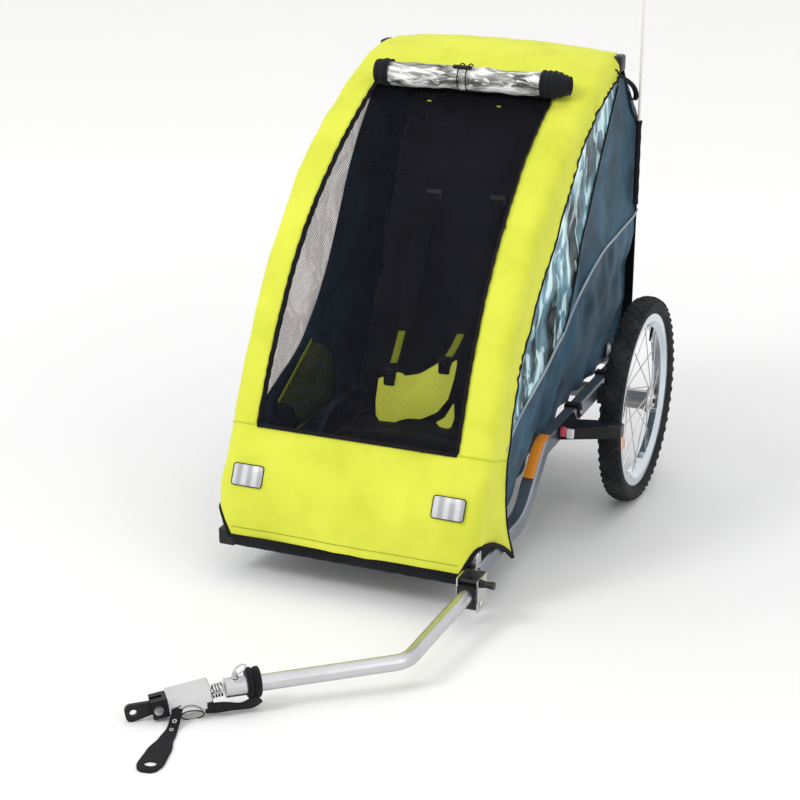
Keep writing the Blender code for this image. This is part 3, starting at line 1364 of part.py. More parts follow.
def build_looks():
    return {
        "anodised": finish("anodised_tube", (0.60, 0.61, 0.63), 0.35, 0.9),
        "steel": finish("plated_steel", (0.72, 0.72, 0.72), 0.3, 1.0),
        "chrome": finish("bright_rim", (0.80, 0.80, 0.82), 0.12, 1.0),
        "tyre": finish("tyre_rubber", (0.03, 0.03, 0.03), 0.8),
        "black_plastic": finish("black_moulding", (0.03, 0.03, 0.033), 0.5),
        "black_fabric": finish("black_fabric", (0.025, 0.032, 0.045), 0.85),
        "net": finish("black_net", (0.02, 0.02, 0.022), 0.9),
        "lime": finish("lime_fabric", (0.72, 0.90, 0.05), 0.8),
        "clear": finish("clear_film", (0.80, 0.86, 0.90), 0.1, 0.0, 0.4),
        "silver_film": finish("silver_film", (0.65, 0.66, 0.68), 0.3, 0.6),
        "fibre": finish("fibre_rod", (0.85, 0.83, 0.62), 0.4),
        "orange": finish("orange_cloth", (0.90, 0.22, 0.02), 0.8),
    }


def frame_parts(body, looks):
    for side in (1, -1):
        rail(side, body, looks)
        corner_block(side, body, looks)
        rear_plug(side, body, looks)
        axle_receiver(side, body, looks)
        wheel_guard(side, body, looks)
        wheel_axle(side, body, looks)
        wheel(side, body, looks)
    cross_members(body, looks)
    floor_panel(body, looks)
    cage_brackets(body, looks)
    arm_bracket(body, looks)


def cage_parts(body, looks):
    front = Anchor("front_hoop_axis", body, (0, FRONT_PIVOT_Y, FRONT_PIVOT_Z))
    rear = Anchor("rear_hoop_axis", body, (0, REAR_PIVOT_Y, REAR_PIVOT_Z))
    front_hoop(front, looks)
    rear_hoop(rear, looks)
    cover(front, looks)
    front_mesh(front, looks)
    rain_roll(front, looks)
    hem_band(body, looks)
    for side in (1, -1):
        side_skins(side, body, looks)
    rear_panel(rear, looks)
    flag(rear, looks)
    seat(body, looks)
    harness(body, looks)
    storage_pocket(body, looks)


def arm_parts(body, looks):
    arm = Anchor("tow_arm_axis", body, (ARM_X, HINGE_Y, HINGE_Z))
    tow_arm(arm, looks)
    hitch_spring(arm, looks)
    head = Anchor("hitch_flex_axis", arm, head_spot(SPRING_LENGTH / 2))
    hitch_head(head, looks)
    safety_strap(head, looks)


def stand_on_ground(root):
    """Tip the body frame about the axle, then centre the footprint on the origin."""
    tip = nose_down_angle()
    root.empty.rotation_euler.x = tip
    root.empty.location = (0, WHEEL_RADIUS * math.sin(tip), WHEEL_RADIUS * (1 - math.cos(tip)))
    bpy.context.view_layer.update()
    graph = bpy.context.evaluated_depsgraph_get()
    spots = []
    for obj in bpy.context.scene.objects:
        if obj.type == "MESH" and not obj.hide_render:
            solid = obj.evaluated_get(graph)
            spots += [solid.matrix_world @ v.co for v in solid.data.vertices]
    low = Vector([min(p[i] for p in spots) for i in range(3)])
    high = Vector([max(p[i] for p in spots) for i in range(3)])
    middle = (low + high) / 2
    root.empty.location -= Vector((middle.x, middle.y, low.z))


def main():
    clear_scene()
    looks = build_looks()
    root = Anchor("trailer_frame")
    frame_parts(root, looks)
    cage_parts(root, looks)
    arm_parts(root, looks)
    stand_on_ground(root)


main()
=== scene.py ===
import math

import bmesh
import bpy
from mathutils import Matrix, Vector, noise


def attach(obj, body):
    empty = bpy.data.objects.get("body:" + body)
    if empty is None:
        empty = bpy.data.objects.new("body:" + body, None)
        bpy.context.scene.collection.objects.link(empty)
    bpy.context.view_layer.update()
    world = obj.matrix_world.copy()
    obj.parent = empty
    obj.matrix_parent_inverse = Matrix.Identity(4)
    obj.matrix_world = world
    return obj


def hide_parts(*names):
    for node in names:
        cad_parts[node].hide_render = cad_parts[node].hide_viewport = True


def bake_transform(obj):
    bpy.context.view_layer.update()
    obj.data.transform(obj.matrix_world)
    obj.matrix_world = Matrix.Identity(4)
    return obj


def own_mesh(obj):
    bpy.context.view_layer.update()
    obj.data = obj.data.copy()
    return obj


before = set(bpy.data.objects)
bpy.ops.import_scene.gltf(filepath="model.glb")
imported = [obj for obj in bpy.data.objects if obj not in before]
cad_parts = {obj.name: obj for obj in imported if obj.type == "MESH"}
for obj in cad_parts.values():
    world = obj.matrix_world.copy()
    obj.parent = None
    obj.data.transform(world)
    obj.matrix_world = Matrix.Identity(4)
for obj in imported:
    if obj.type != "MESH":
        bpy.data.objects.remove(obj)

# Looks of the child bike trailer. Places are written in the trailer's own body frame, whose origin is on the
# ground under the axle of a level trailer, and BODY tips them nose-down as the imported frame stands.
PI = math.pi
TIP = math.radians(3.36059)
BODY = Matrix.Translation((0, 0.52626, 0.00048)) @ Matrix.Rotation(TIP, 4, "X")
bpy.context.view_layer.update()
SIDES = {"left": 1, "right": -1}


def at(x, y, z):
    return Vector((x, y, z))


def mm(*points):
    """Points measured in millimetres."""
    return [tuple(value / 1000 for value in point) for point in points]


ALONG_X, ALONG_Y, ALONG_Z = at(1, 0, 0), at(0, 1, 0), at(0, 0, 1)

# The photograph's camera, fitted to its vanishing lines and to the wheels
EYE = (1.20420, -2.90543, 1.28939)
EYE_RIGHT = (0.92355, 0.38281, 0.02243)
EYE_UP = (-0.13474, 0.26920, 0.95361)
EYE_AHEAD = (-0.35901, 0.88374, -0.30020)
LENS = 85.455
MIDDLE_OF_VIEW = at(0, 0, 0.45)

# The skin's lines in side view, as the solids have them
COVER_LINE = mm(
    (-705, 118), (-692, 205), (-645, 305), (-598, 400), (-552, 480), (-490, 562), (-416, 640), (-332, 706),
    (-243, 762), (-150, 807), (-70, 841), (0, 857), (60, 857))
FLAP_LINE = mm(
    (-520, 78), (-562, 190), (-553, 270), (-528, 350), (-495, 420), (-437, 490), (-366, 560), (-290, 636),
    (-204, 712), (-130, 756), (-60, 790), (-10, 804), (26, 814))
ARCH_LINE = mm((-690, 163), (-656, 156), (-616, 142), (-564, 112), (-515, 72))
ARCH_FRONT_LINE = mm((210, 100), (215, 124), (228, 150), (236, 163), (246, 163))
HEM_CORNER = mm(
    (212, -705.2, 118), (215, -704.5, 124), (228, -697.2, 150), (236.2, -688, 162), (239.7, -672, 160),
    (239.7, -656, 156), (239.7, -616, 142), (239.7, -564, 112), (239.7, -520, 78))
FILM_LOW_LINE = mm((-560, 290), (-499, 325), (-420, 349), (-352, 369), (-290, 394))
FILM_REAR_LINE = mm(
    (-262, 402), (-236, 425), (-212, 458), (-190, 500), (-163, 554), (-125, 600), (-80, 662), (-40, 712),
    (31, 797))
RIGHT_LOW_LINE = mm((-560, 283), (-497, 303), (-448, 320), (-367, 343), (-290, 378))
RIGHT_FILM_LINE = mm(
    (-560, 285), (-497, 305), (-448, 322), (-371, 352), (-322, 388), (-276, 430), (-242, 470), (-216, 507),
    (-190, 547), (-166, 587), (-138, 632), (-99, 681), (-56, 725), (-10, 770), (31, 801))
PIPING_REAR_LINE = mm(
    (-262, 402), (-195, 439), (-125, 466), (-70, 483), (-14, 496), (64, 503), (120, 508), (173, 512),
    (203, 520))
CLOTH_REAR_LINE = mm((206, 560), (196, 660), (176, 715), (148, 742), (98, 790), (48, 812))
FLOOR_EDGE = mm(
    (214, -505, 120), (200, -455, 129), (196, -400, 150), (195, -324.5, 174), (195, -246.3, 188.5),
    (195, -188.5, 197), (195, -111.4, 212.5), (195, -48.6, 211.5), (195, 48.8, 210.5), (196, 150, 212),
    (206, 190, 230))
REAR_LINE = mm((62, 852), (150, 744), (203, 700), (213, 557), (213, 420), (213, 228))
FLOOR_LINE = mm(
    (211, 229), (196, 222.5), (176, 219), (0, 218.5), (-150, 218.5), (-290, 218.5), (-325, 214), (-352, 198),
    (-395, 161), (-425, 137), (-460, 126.5), (-520, 123), (-600, 123), (-667, 123))
CROTCH_PAD = mm(
    (-64, 323), (-54, 328), (-48, 310), (-31, 324), (-29, 340), (-17, 340), (-13, 335), (16, 343), (44, 362),
    (56, 372), (52, 350), (73, 352), (79, 373), (87, 379), (87, 369), (83, 346), (71, 302), (50, 274),
    (18, 256), (-7, 254), (-29, 245), (-31, 231), (-48, 229), (-62, 240), (-70, 252), (-70, 280))
PAD_TAIL = mm((44, 250), (60, 262), (77, 292), (78, 262), (72, 244), (56, 237))
CORNER_STRAP = mm(
    (236, 4, 831), (236, 45, 813), (236, 94, 796), (236, 138, 777), (236, 161, 759), (236, 156, 749),
    (236, 120, 757), (236, 104, 772))
RAIL_LOOP = mm((208.5, 186), (208.5, 222), (212, 224), (232, 224), (236.5, 220.5), (237, 200))
RAIL_FILM = mm((-300, 221.3), (-318, 220.8), (-334, 217), (-350, 208), (-372, 189.5), (-392, 172.2))
TYRE_WALL = mm((11.2, 160), (15, 169), (19, 175), (20.7, 182), (20, 189), (16.5, 194.5), (9, 197.3), (0, 198))

HALF = 0.2395
SIDE_X = 0.2362
FLAP_X = 0.2366
CORNER = 0.025
ROOF_CORNER = 0.032
CROWN = 0.009
WINDOW_LOW = 2
WINDOW_HIGH = 9
WINDOW_HALF = (0.182, 0.170)
ROW_STEPS = 20
WINDOW_COLUMNS, BORDER_COLUMNS, BEND_COLUMNS, FLAP_COLUMNS = 12, 5, 5, 14


class Val:
    """A socket in a node tree. Arithmetic on it adds Math nodes."""

    def __init__(self, nodes, socket):
        self.nodes = nodes
        self.socket = socket

    def math(self, operation, *others, clamp=False):
        settings = {"operation": operation, "use_clamp": clamp}
        return self.nodes.node("ShaderNodeMath", settings, dict(enumerate((self, *others))))

    def __add__(self, other):
        return self.math("ADD", other)

    def __sub__(self, other):
        return self.math("SUBTRACT", other)

    def __mul__(self, other):
        return self.math("MULTIPLY", other)

    def __truediv__(self, other):
        return self.math("DIVIDE", other)

    def __rsub__(self, other):
        return self.nodes.node("ShaderNodeMath", {"operation": "SUBTRACT"}, {0: other, 1: self})

    __radd__, __rmul__ = __add__, __mul__

    def wave(self):
        return self.math("SINE")

    def capped(self):
        return self.math("ADD", 0.0, clamp=True)

    def ramp(self, low, high):
        """0 up to low, 1 from high on."""
        return ((self - low) / (high - low)).capped()


class Nodes:
    """A node tree that nodes are added to."""

    def __init__(self, tree):
        self.tree = tree

    def node(self, kind, settings=(), sockets=(), out=0):
        made = self.tree.nodes.new(kind)
        for key, value in dict(settings).items():
            setattr(made, key, value)
        for key, value in dict(sockets).items():
            if isinstance(value, Val):
                self.tree.links.new(value.socket, made.inputs[key])
            else:
                made.inputs[key].default_value = value
        return Val(self, made.outputs[out]) if len(made.outputs) else None


class Look(Nodes):
    """A finish: one Principled shader with its fixed values and the nodes that vary it. Its slot is not used.
    """

    def __init__(self, name, slot, roughness=0.5, metallic=0.0, **fixed):
        self.material = bpy.data.materials.new(name)
        self.material.use_nodes = True
        super().__init__(self.material.node_tree)
        self.shader = self.tree.nodes["Principled BSDF"]
        self.shader.inputs["Roughness"].default_value = roughness
        self.shader.inputs["Metallic"].default_value = metallic
        for socket, value in fixed.items():
            self.shader.inputs[FIXED_SOCKETS[socket]].default_value = value
        self.spot = self.node("ShaderNodeTexCoord", out="Object")
        self.flat = self.node("ShaderNodeTexCoord", out="UV")

    def axes(self, place):
        return [self.node("ShaderNodeSeparateXYZ", (), {0: place}, i) for i in range(3)]

    def stretched(self, scale):
        return self.node("ShaderNodeMapping", (), {"Vector": self.spot, "Scale": scale})

    def cloud(self, scale, detail=3.0, place=None, twist=0.0):
        return self.node("ShaderNodeTexNoise", (), {
            "Vector": place or self.spot, "Scale": scale, "Detail": detail, "Distortion": twist})

    def cells(self, scale):
        return self.node("ShaderNodeTexVoronoi", (), {"Vector": self.spot, "Scale": scale})

    def blend(self, first, second, share):
        return self.node("ShaderNodeMix", {"data_type": "RGBA"}, {0: share, 6: first, 7: second}, 2)

    def between(self, base, second, share):
        """Two plain colours mixed by share."""
        return self.blend((*base, 1.0), (*second, 1.0), share)

    def paint(self, socket, value):
        self.tree.links.new(value.socket, self.shader.inputs[socket])

    def paint_colour(self, value, glow=0.0):
        self.paint("Base Color", value)
        if glow:
            self.paint("Emission Color", value)

    def relief(self, height, distance, strength=1.0):
        sockets = {"Height": height, "Distance": distance, "Strength": strength}
        self.paint("Normal", self.node("ShaderNodeBump", (), sockets))


# The shader inputs that a look's fixed values go to, by short name
FIXED_SOCKETS = {
    "sheen": "Sheen Weight", "tint": "Sheen Tint", "fuzz": "Sheen Roughness", "shine": "Specular IOR Level",
    "glow": "Emission Strength", "coat": "Coat Weight", "coat_roughness": "Coat Roughness",
}


def fabric(name, slot, base, shade, pitch=0.0011, roughness=0.85, sheen=0.1, tint=(1, 1, 1), crease=0.0016,
           shine=0.35, patches=(0.35, 0.7), glow=0.0):
    """Coated woven cloth: threads both ways, faint mottling and soft creases. The second colour is painted
    into the creases and partly into the mottled patches: painted shade where it is darker, painted sheen
    where it is lighter.
    """
    look = Look(name, slot, roughness, sheen=sheen, tint=(*tint, 1.0), fuzz=0.5, shine=shine, glow=glow)
    u, v, _ = look.axes(look.flat)
    threads = (u * (2 * PI / pitch)).wave() * (v * (2 * PI / pitch)).wave()
    mottle_and_shade, fibre, folds = look.cloud(9, 4), look.cloud(420, 2), look.cloud(16, 3)
    # Colour share: mottled patches (partly random tone, partly painted shade), painted shade in the folds,
    # then fibre and threads
    share = mottle_and_shade.ramp(*patches) * 0.6 + folds.ramp(0.50, 0.68) * 0.35 + fibre * 0.25 + threads * 0.12
    look.paint_colour(look.between(base, shade, share.capped()), glow)
    look.paint("Roughness", roughness - 0.12 * mottle_and_shade)
    bump = 0.0006
    look.relief(threads * 0.12 + fibre * 0.10 + folds * (crease / bump), bump, 0.8)
    return look


def webbing(name, slot, base, shade):
    """Woven strap with ribs across its width."""
    look = Look(name, slot, 0.75, sheen=0.05, shine=0.12)
    x, y, z = look.axes(look.spot)
    ribs = ((x + y + z) * (2 * PI / 0.0022)).wave()
    fibre = look.cloud(500, 2)
    look.paint_colour(look.between(base, shade, (ribs * 0.3 + fibre * 0.5 + 0.1).capped()))
    look.relief(ribs * 0.4 + fibre * 0.3, 0.0005, 0.8)
    return look


def net(name, base, pitch, open_from, thick):
    """Knitted net: dark threads round small holes."""
    look = Look(name, "black_net", 0.8, shine=0.1)
    u, v, _ = look.axes(look.flat)
    turn = PI / pitch
    depth = (((u + v) * turn).wave() * ((u - v) * turn).wave()).math("ABSOLUTE")
    look.paint("Alpha", 1 - depth.ramp(open_from, open_from + 0.25) * (1 - thick))
    look.paint_colour(look.between(base, [c * 2.2 for c in base], look.cloud(30)))
    look.relief(1 - depth, 0.0004, 0.6)
    return look


def film(name, slot, dark, middle, bright, stretch, scale, clear, full, glow=0.0):
    """Soft clear film whose crinkles are painted with reflections: painted highlight streaks over half-lit
    and dark patches in its colour, with real crinkle bumps.
    """
    look = Look(name, slot, 0.15, shine=0.3, glow=glow)
    place = look.stretched(stretch)
    bend, fine = look.cloud(scale, 3.0, place, 0.8), look.cloud(scale * 2.7, 2.0, place, 1.0)
    half_lit = bend.ramp(0.42, 0.56)
    painted_streaks = (bend.ramp(0.55, 0.62) + fine.ramp(0.55, 0.61) * 0.8).capped()
    # Painted reflection: dark and half-lit patches with painted highlight streaks; the alpha follows them
    look.paint_colour(look.blend(look.between(dark, middle, half_lit), (*bright, 1.0), painted_streaks), glow)
    look.paint("Alpha", clear + (full - clear) * (half_lit * 0.5 + painted_streaks * 0.5))
    look.paint("Roughness", 0.10 + fine * 0.2)
    look.relief(bend * 2.0 + fine, 0.002, 0.9)
    return look


def metal(name, slot, base, roughness, stretch=(1, 1, 1), wear=0.08, metallic=1.0):
    """Drawn or plated metal: fine lines along the part, faint smudges."""
    look = Look(name, slot, roughness, metallic)
    lines, smudge = look.cloud(260, 2, look.stretched(stretch)), look.cloud(14, 4)
    dull = [c * 0.82 for c in base]
    look.paint_colour(look.between(base, dull, smudge.ramp(0.4, 0.75) * 0.7 + lines * 0.2))
    look.paint("Roughness", roughness + wear * smudge + 0.06 * lines)
    look.relief(lines, 0.00004, 0.6)
    return look


def moulding(name, slot, base, roughness, grain=900):
    """Moulded plastic with a fine spark-eroded grain."""
    look = Look(name, slot, roughness, shine=0.3)
    fine, rubbed = look.cloud(grain, 2), look.cloud(22, 4)
    light = [min(1.0, c * 1.9 + 0.01) for c in base]
    look.paint_colour(look.between(base, light, rubbed.ramp(0.5, 0.85) * 0.6))
    look.paint("Roughness", roughness - 0.10 * rubbed + 0.06 * fine)
    look.relief(fine, 0.00012, 0.6)
    return look


def rubber(name, slot, base, dusty):
    look = Look(name, slot, 0.78, shine=0.2)
    dust, fine = look.cloud(26, 5), look.cloud(700, 2)
    look.paint_colour(look.between(base, dusty, dust.ramp(0.45, 0.8) * 0.6))
    look.paint("Roughness", 0.68 + 0.18 * dust)
    look.relief(fine + dust * 2, 0.0002, 0.6)
    return look


def prism_film(name, slot, base, bright, size):
    """Reflector face: a field of small prisms under a smooth skin. The cell pattern is the prisms' own; the
    lighter colour in the cells is painted glint.
    """
    look = Look(name, slot, 0.25, coat=0.7, coat_roughness=0.08)
    prisms = look.cells(1 / size)
    look.paint_colour(look.between(base, bright, prisms.ramp(0.1, 0.7)))
    look.relief(prisms, 0.0004, 0.7)
    return look


def banded_patch(name, slot, dark, bright, width):
    """Sewn reflecting patch with upright bands."""
    look = Look(name, slot, 0.35, shine=0.4, coat=0.4, coat_roughness=0.15)
    x, _, _ = look.axes(look.spot)
    bands = (x * (2 * PI / width)).wave() * 0.5 + 0.5
    cells = look.cells(700)
    share = (bands.ramp(0.2, 0.8) * 0.7 + cells * 0.3 + look.cloud(60) * 0.2).capped()
    look.paint_colour(look.between(dark, bright, share))
    look.relief(cells + bands, 0.0003, 0.6)
    return look


def floor_paper():
    """White paper that brightens with the distance."""
    look = Look("floor_paper", None, 0.9, shine=0.1, glow=1.0)
    look.paint("Base Color", look.between((0.94, 0.94, 0.94), (0.96, 0.96, 0.96), look.cloud(1.5, 2)))
    x, y, _ = look.axes(look.spot)
    far = (x * x + y * y).math("SQRT")
    look.paint("Emission Color", look.between((0, 0, 0), (0.16, 0.155, 0.15), far.ramp(1.0, 3.2)))
    return look


LIME_SLOT, BLACK_SLOT, PLASTIC_SLOT, STEEL_SLOT = (
    "lime_fabric", "black_fabric", "black_moulding", "plated_steel")
# The lime cloth's darker second colour is painted shade, laid into its creases and mottled patches
LIME = fabric("lime_cloth", LIME_SLOT, (0.79, 0.83, 0.075), (0.64, 0.69, 0.045), tint=(1, 1, 0.6),
              crease=0.0048, patches=(0.36, 0.72))
# The harness cloth's brighter colour and its glow are painted light, brightening the pad behind the net
# beyond the light that reaches it
GLOWING_HARNESS_LIME = fabric("harness_cloth_painted_glow", LIME_SLOT, (0.93, 0.98, 0.12), (0.78, 0.84, 0.08), 0.0042, glow=0.45)
LIME_TRIM = fabric("lime_trim", LIME_SLOT, (0.58, 0.65, 0.030), (0.48, 0.55, 0.020))
BLACK = fabric("black_cloth", BLACK_SLOT, (0.006, 0.007, 0.009), (0.014, 0.017, 0.022), shine=0.15,
               sheen=0.05)
# The side cloth's light blue-green second colour is painted sheen over its dark slate tone; this is a lit
# copy of the black fabric
SLATE_WITH_PAINTED_SHEEN = fabric("slate_cloth_painted_sheen", BLACK_SLOT, (0.006, 0.024, 0.040), (0.038, 0.105, 0.165), tint=(0.5, 0.75, 1.0),
               shine=0.15, patches=(0.40, 0.62), roughness=0.6, crease=0.003)
PAD = fabric("padded_cloth", BLACK_SLOT, (0.006, 0.007, 0.010), (0.018, 0.020, 0.026), 0.0016, sheen=0.05,
             shine=0.12)
BINDING = fabric("binding_tape", BLACK_SLOT, (0.005, 0.005, 0.006), (0.012, 0.012, 0.013), 0.0009,
                 crease=0.0004, shine=0.12, sheen=0.02)
SILVER_PIPE = fabric("reflecting_piping", BLACK_SLOT, (0.42, 0.48, 0.52), (0.24, 0.30, 0.34), 0.0016, 0.45,
                     crease=0.0004)
PENNANT_CLOTH = fabric("pennant_cloth", "orange_cloth", (0.90, 0.20, 0.012), (0.74, 0.14, 0.010))
BLACK_WEB = webbing("black_webbing", BLACK_SLOT, (0.006, 0.006, 0.007), (0.022, 0.023, 0.026))
LIME_WEB = webbing("lime_webbing", LIME_SLOT, (0.66, 0.76, 0.05), (0.52, 0.62, 0.03))
WINDOW_NET = net("window_net", (0.007, 0.007, 0.011), 0.0042, 0.03, 0.08)
POCKET_NET = net("pocket_net", (0.050, 0.062, 0.016), 0.0060, 0.25, 0.10)
# The lit film's colours are painted reflection: dark patches, a cyan lit middle tone and painted highlight
# streaks
LIT_FILM = film("lit_film", "clear_film", (0.010, 0.022, 0.030), (0.20, 0.46, 0.58), (0.72, 0.97, 1.0),
                (1, 0.9, 0.4), 13, 0.50, 0.97)
# The far film's pale colour and its glow are painted light, standing in for light coming through the milky
# film
GLOWING_FILM = film("clear_film", "clear_film", (0.74, 0.70, 0.68), (0.80, 0.76, 0.74), (0.95, 0.92, 0.90),
                  (1, 1, 0.6), 12, 0.60, 0.78, 0.55)
# The rolled film's colours are painted reflection: dark streaks and painted white highlights
ROLL_FILM = film("rolled_film", "silver_film", (0.07, 0.065, 0.055), (0.46, 0.46, 0.44), (0.96, 0.96, 0.94),
                 (0.35, 1.3, 1.3), 34, 0.95, 1.0)
TUBE = metal("anodised_tube", None, (0.60, 0.60, 0.62), 0.24, (1, 0.05, 1), metallic=0.95)
RAIL = metal("rail_tube", None, (0.30, 0.33, 0.38), 0.30, (1, 0.05, 1), metallic=0.95)
STEEL = metal("plated_steel", STEEL_SLOT, (0.62, 0.62, 0.62), 0.22)
BLOCK = metal("machined_block", None, (0.70, 0.70, 0.71), 0.16, (0.2, 1, 1), wear=0.14)
CHROME = metal("bright_rim", None, (0.66, 0.72, 0.77), 0.10, wear=0.05)
TYRE = rubber("tyre_rubber", "tyre_rubber", (0.010, 0.012, 0.015), (0.060, 0.058, 0.054))
PLASTIC = moulding("black_moulding", PLASTIC_SLOT, (0.008, 0.008, 0.010), 0.42)
GREY = moulding("grey_moulding", PLASTIC_SLOT, (0.10, 0.10, 0.11), 0.45)
POLE = moulding("fibre_rod", None, (0.88, 0.87, 0.80), 0.35, 300)
SILVER_PATCH = banded_patch("silver_reflector", "silver_film", (0.30, 0.31, 0.33), (0.66, 0.67, 0.69), 0.0195)
# The reflectors' lighter second colours are painted glints in the prism cells
AMBER = prism_film("amber_reflector", PLASTIC_SLOT, (0.98, 0.20, 0.005), (1.0, 0.40, 0.03), 0.0016)
RED = prism_film("red_reflector", PLASTIC_SLOT, (0.55, 0.02, 0.05), (0.80, 0.06, 0.12), 0.0025)
WHITE_LENS = prism_film("white_reflector", PLASTIC_SLOT, (0.62, 0.64, 0.66), (0.85, 0.86, 0.87), 0.0025)


def curve(points, steps):
    """A smooth line through points, with the same number of steps in each span."""
    points = [Vector(p) for p in points]
    ends = [points[0] * 2 - points[1], *points, points[-1] * 2 - points[-2]]
    line = []
    for a, b, c, d in zip(ends, ends[1:], ends[2:], ends[3:]):
        for i in range(steps):
            t = i / steps
            line.append(b + 0.5 * ((c - a) * t + (2 * a - 5 * b + 4 * c - d) * t * t
                                   + (3 * b - a - 3 * c + d) * t**3))
    line.append(points[-1])
    return line


def length_of(points):
    """A polyline's length."""
    return sum((b - a).length for a, b in zip(points, points[1:]))


def evenly(points, count):
    """A polyline's points again, the same distance apart."""
    reach = [0.0]
    for a, b in zip(points, points[1:]):
        reach.append(reach[-1] + (b - a).length)
    spots = []
    k = 0
    for i in range(count):
        target = reach[-1] * i / (count - 1)
        while k < len(points) - 2 and reach[k + 1] < target:
            k += 1
        span = reach[k + 1] - reach[k]
        spots.append(points[k].lerp(points[k + 1], (target - reach[k]) / span if span else 0.0))
    return spots


def ease(low, high, value):
    t = min(max((value - low) / (high - low), 0.0), 1.0)
    return t * t * (3 - 2 * t)


def outline(half_a, half_b, corner, steps=3):
    """A rounded rectangle."""
    spots = []
    for quarter, (sa, sb) in enumerate(((1, 1), (-1, 1), (-1, -1), (1, -1))):
        for i in range(steps + 1):
            angle = quarter * PI / 2 + PI / 2 * i / steps
            spots.append((sa * (half_a - corner) + corner * math.cos(angle),
                          sb * (half_b - corner) + corner * math.sin(angle)))
    return spots


def ring(radius, sides):
    turns = [2 * PI * i / sides for i in range(sides)]
    return [(radius * math.cos(a), radius * math.sin(a)) for a in turns]


def neighbours(line, i):
    """The step from the point before to the point after, inside the line's ends."""
    return line[min(i + 1, len(line) - 1)] - line[max(i - 1, 0)]


def sheet_normal(rows, i, j):
    column = [row[j] for row in (rows[max(i - 1, 0)], rows[min(i + 1, len(rows) - 1)])]
    return neighbours(rows[i], j).cross(column[1] - column[0]).normalized()


def both_halves(half):
    """A row of points from the middle outwards, with its mirror image before it."""
    return [at(-p.x, p.y, p.z) for p in reversed(half[1:])] + half


def rounded_turn(spot, out, radius, half, columns):
    """The rounded turn of a section from its face to its side."""
    angles = [PI / 2 * k / columns for k in range(columns + 1)]
    return [spot - out * radius * (1 - math.cos(a)) + at(half - radius + radius * math.sin(a), 0, 0)
            for a in angles]


def ripple(point, size, height, seed=0.0):
    return noise.noise(point / size + at(seed, seed * 0.7, -seed)) * height


def creased(fade, sink, *ripples):
    """A wave of ripples (size, height, seed), less sink, that fades towards the sheet's edges."""

    def wave(up, across, point):
        shape = math.sin(PI * up) ** fade * math.sin(PI * across) ** fade
        return (sum(ripple(point, *each) for each in ripples) - sink) * shape

    return wave


def line_normals(line):
    steps = [neighbours(line, i).normalized() for i in range(len(line))]
    return [at(0, -ahead.z, ahead.y) for ahead in steps]


def in_side_view(points, x=0.0):
    return [at(x, y, z) for y, z in points]


def link(name, data):
    obj = bpy.data.objects.new(name, data)
    bpy.context.scene.collection.objects.link(obj)
    return obj


def made_object(name, mesh, look, angle=45):
    mesh.shade_smooth()
    mesh.set_sharp_from_angle(angle=math.radians(angle))
    mesh.materials.append(look.material)
    return link(name, mesh)


class Form:
    """Points and faces in the body frame, gathered into one piece."""

    def __init__(self):
        self.points = []
        self.faces = []

    def rings(self, rings, closed=False):
        first = len(self.points)
        size = len(rings[0])
        self.points += [Vector(p) for section in rings for p in section]
        pairs = [(i, i + 1) for i in range(len(rings) - 1)] + ([(len(rings) - 1, 0)] if closed else [])
        for a, b in pairs:
            for k in range(size):
                n = (k + 1) % size
                self.faces.append([first + a * size + k, first + a * size + n, first + b * size + n,
                                   first + b * size + k])
        if not closed:
            last = first + (len(rings) - 1) * size
            self.faces += [[first + k for k in reversed(range(size))], [last + k for k in range(size)]]
        return self

    def tube(self, path, section, across=(0.3, 0.2, 1.0), closed=False, size=None):
        """A section carried along a path without twist."""
        path = [Vector(p) for p in path]
        across = Vector(across)
        count = len(path)
        made = []
        for i, point in enumerate(path):
            ahead = path[(i + 1) % count] - path[i - 1] if closed else neighbours(path, i)
            ahead.normalize()
            across = (across - ahead * across.dot(ahead)).normalized()
            up = ahead.cross(across)
            grow = size(i / (count - 1)) if size else 1.0
            made.append([point + across * a * grow + up * b * grow for a, b in section])
        return self.rings(made, closed)

    def slab(self, centre, half, corner, edge, axes=(ALONG_X, ALONG_Y, ALONG_Z)):
        """A block with rounded corners and softened edges."""
        x, y, z = axes
        centre = Vector(centre)
        made = []
        for level, inset, drop in (
                (-1, 1, 0), (-1, 0.3, 0.49), (-1, 0, 1), (1, 0, 1), (1, 0.3, 0.49), (1, 1, 0)):
            high = level * (half[2] - edge * drop)
            flat = outline(half[0] - edge * inset, half[1] - edge * inset, corner)
            made.append([centre + x * a + y * b + z * high for a, b in flat])
        return self.rings(made)

    def mesh(self, name, join=0.0):
        mesh = bpy.data.meshes.new(name)
        mesh.from_pydata([BODY @ p for p in self.points], [], self.faces)
        bm = bmesh.new()
        bm.from_mesh(mesh)
        if join:
            bmesh.ops.remove_doubles(bm, verts=bm.verts, dist=join)
        bmesh.ops.recalc_face_normals(bm, faces=bm.faces)
        bm.to_mesh(mesh)
        bm.free()
        return mesh

    def piece(self, name, look, angle=45):
        return made_object(name, self.mesh(name), look, angle)

    def dress(self, name, look, body, *nodes, angle=45, slot=None):
        return dress(self.piece(name, look, angle), body, *nodes, slot=slot)


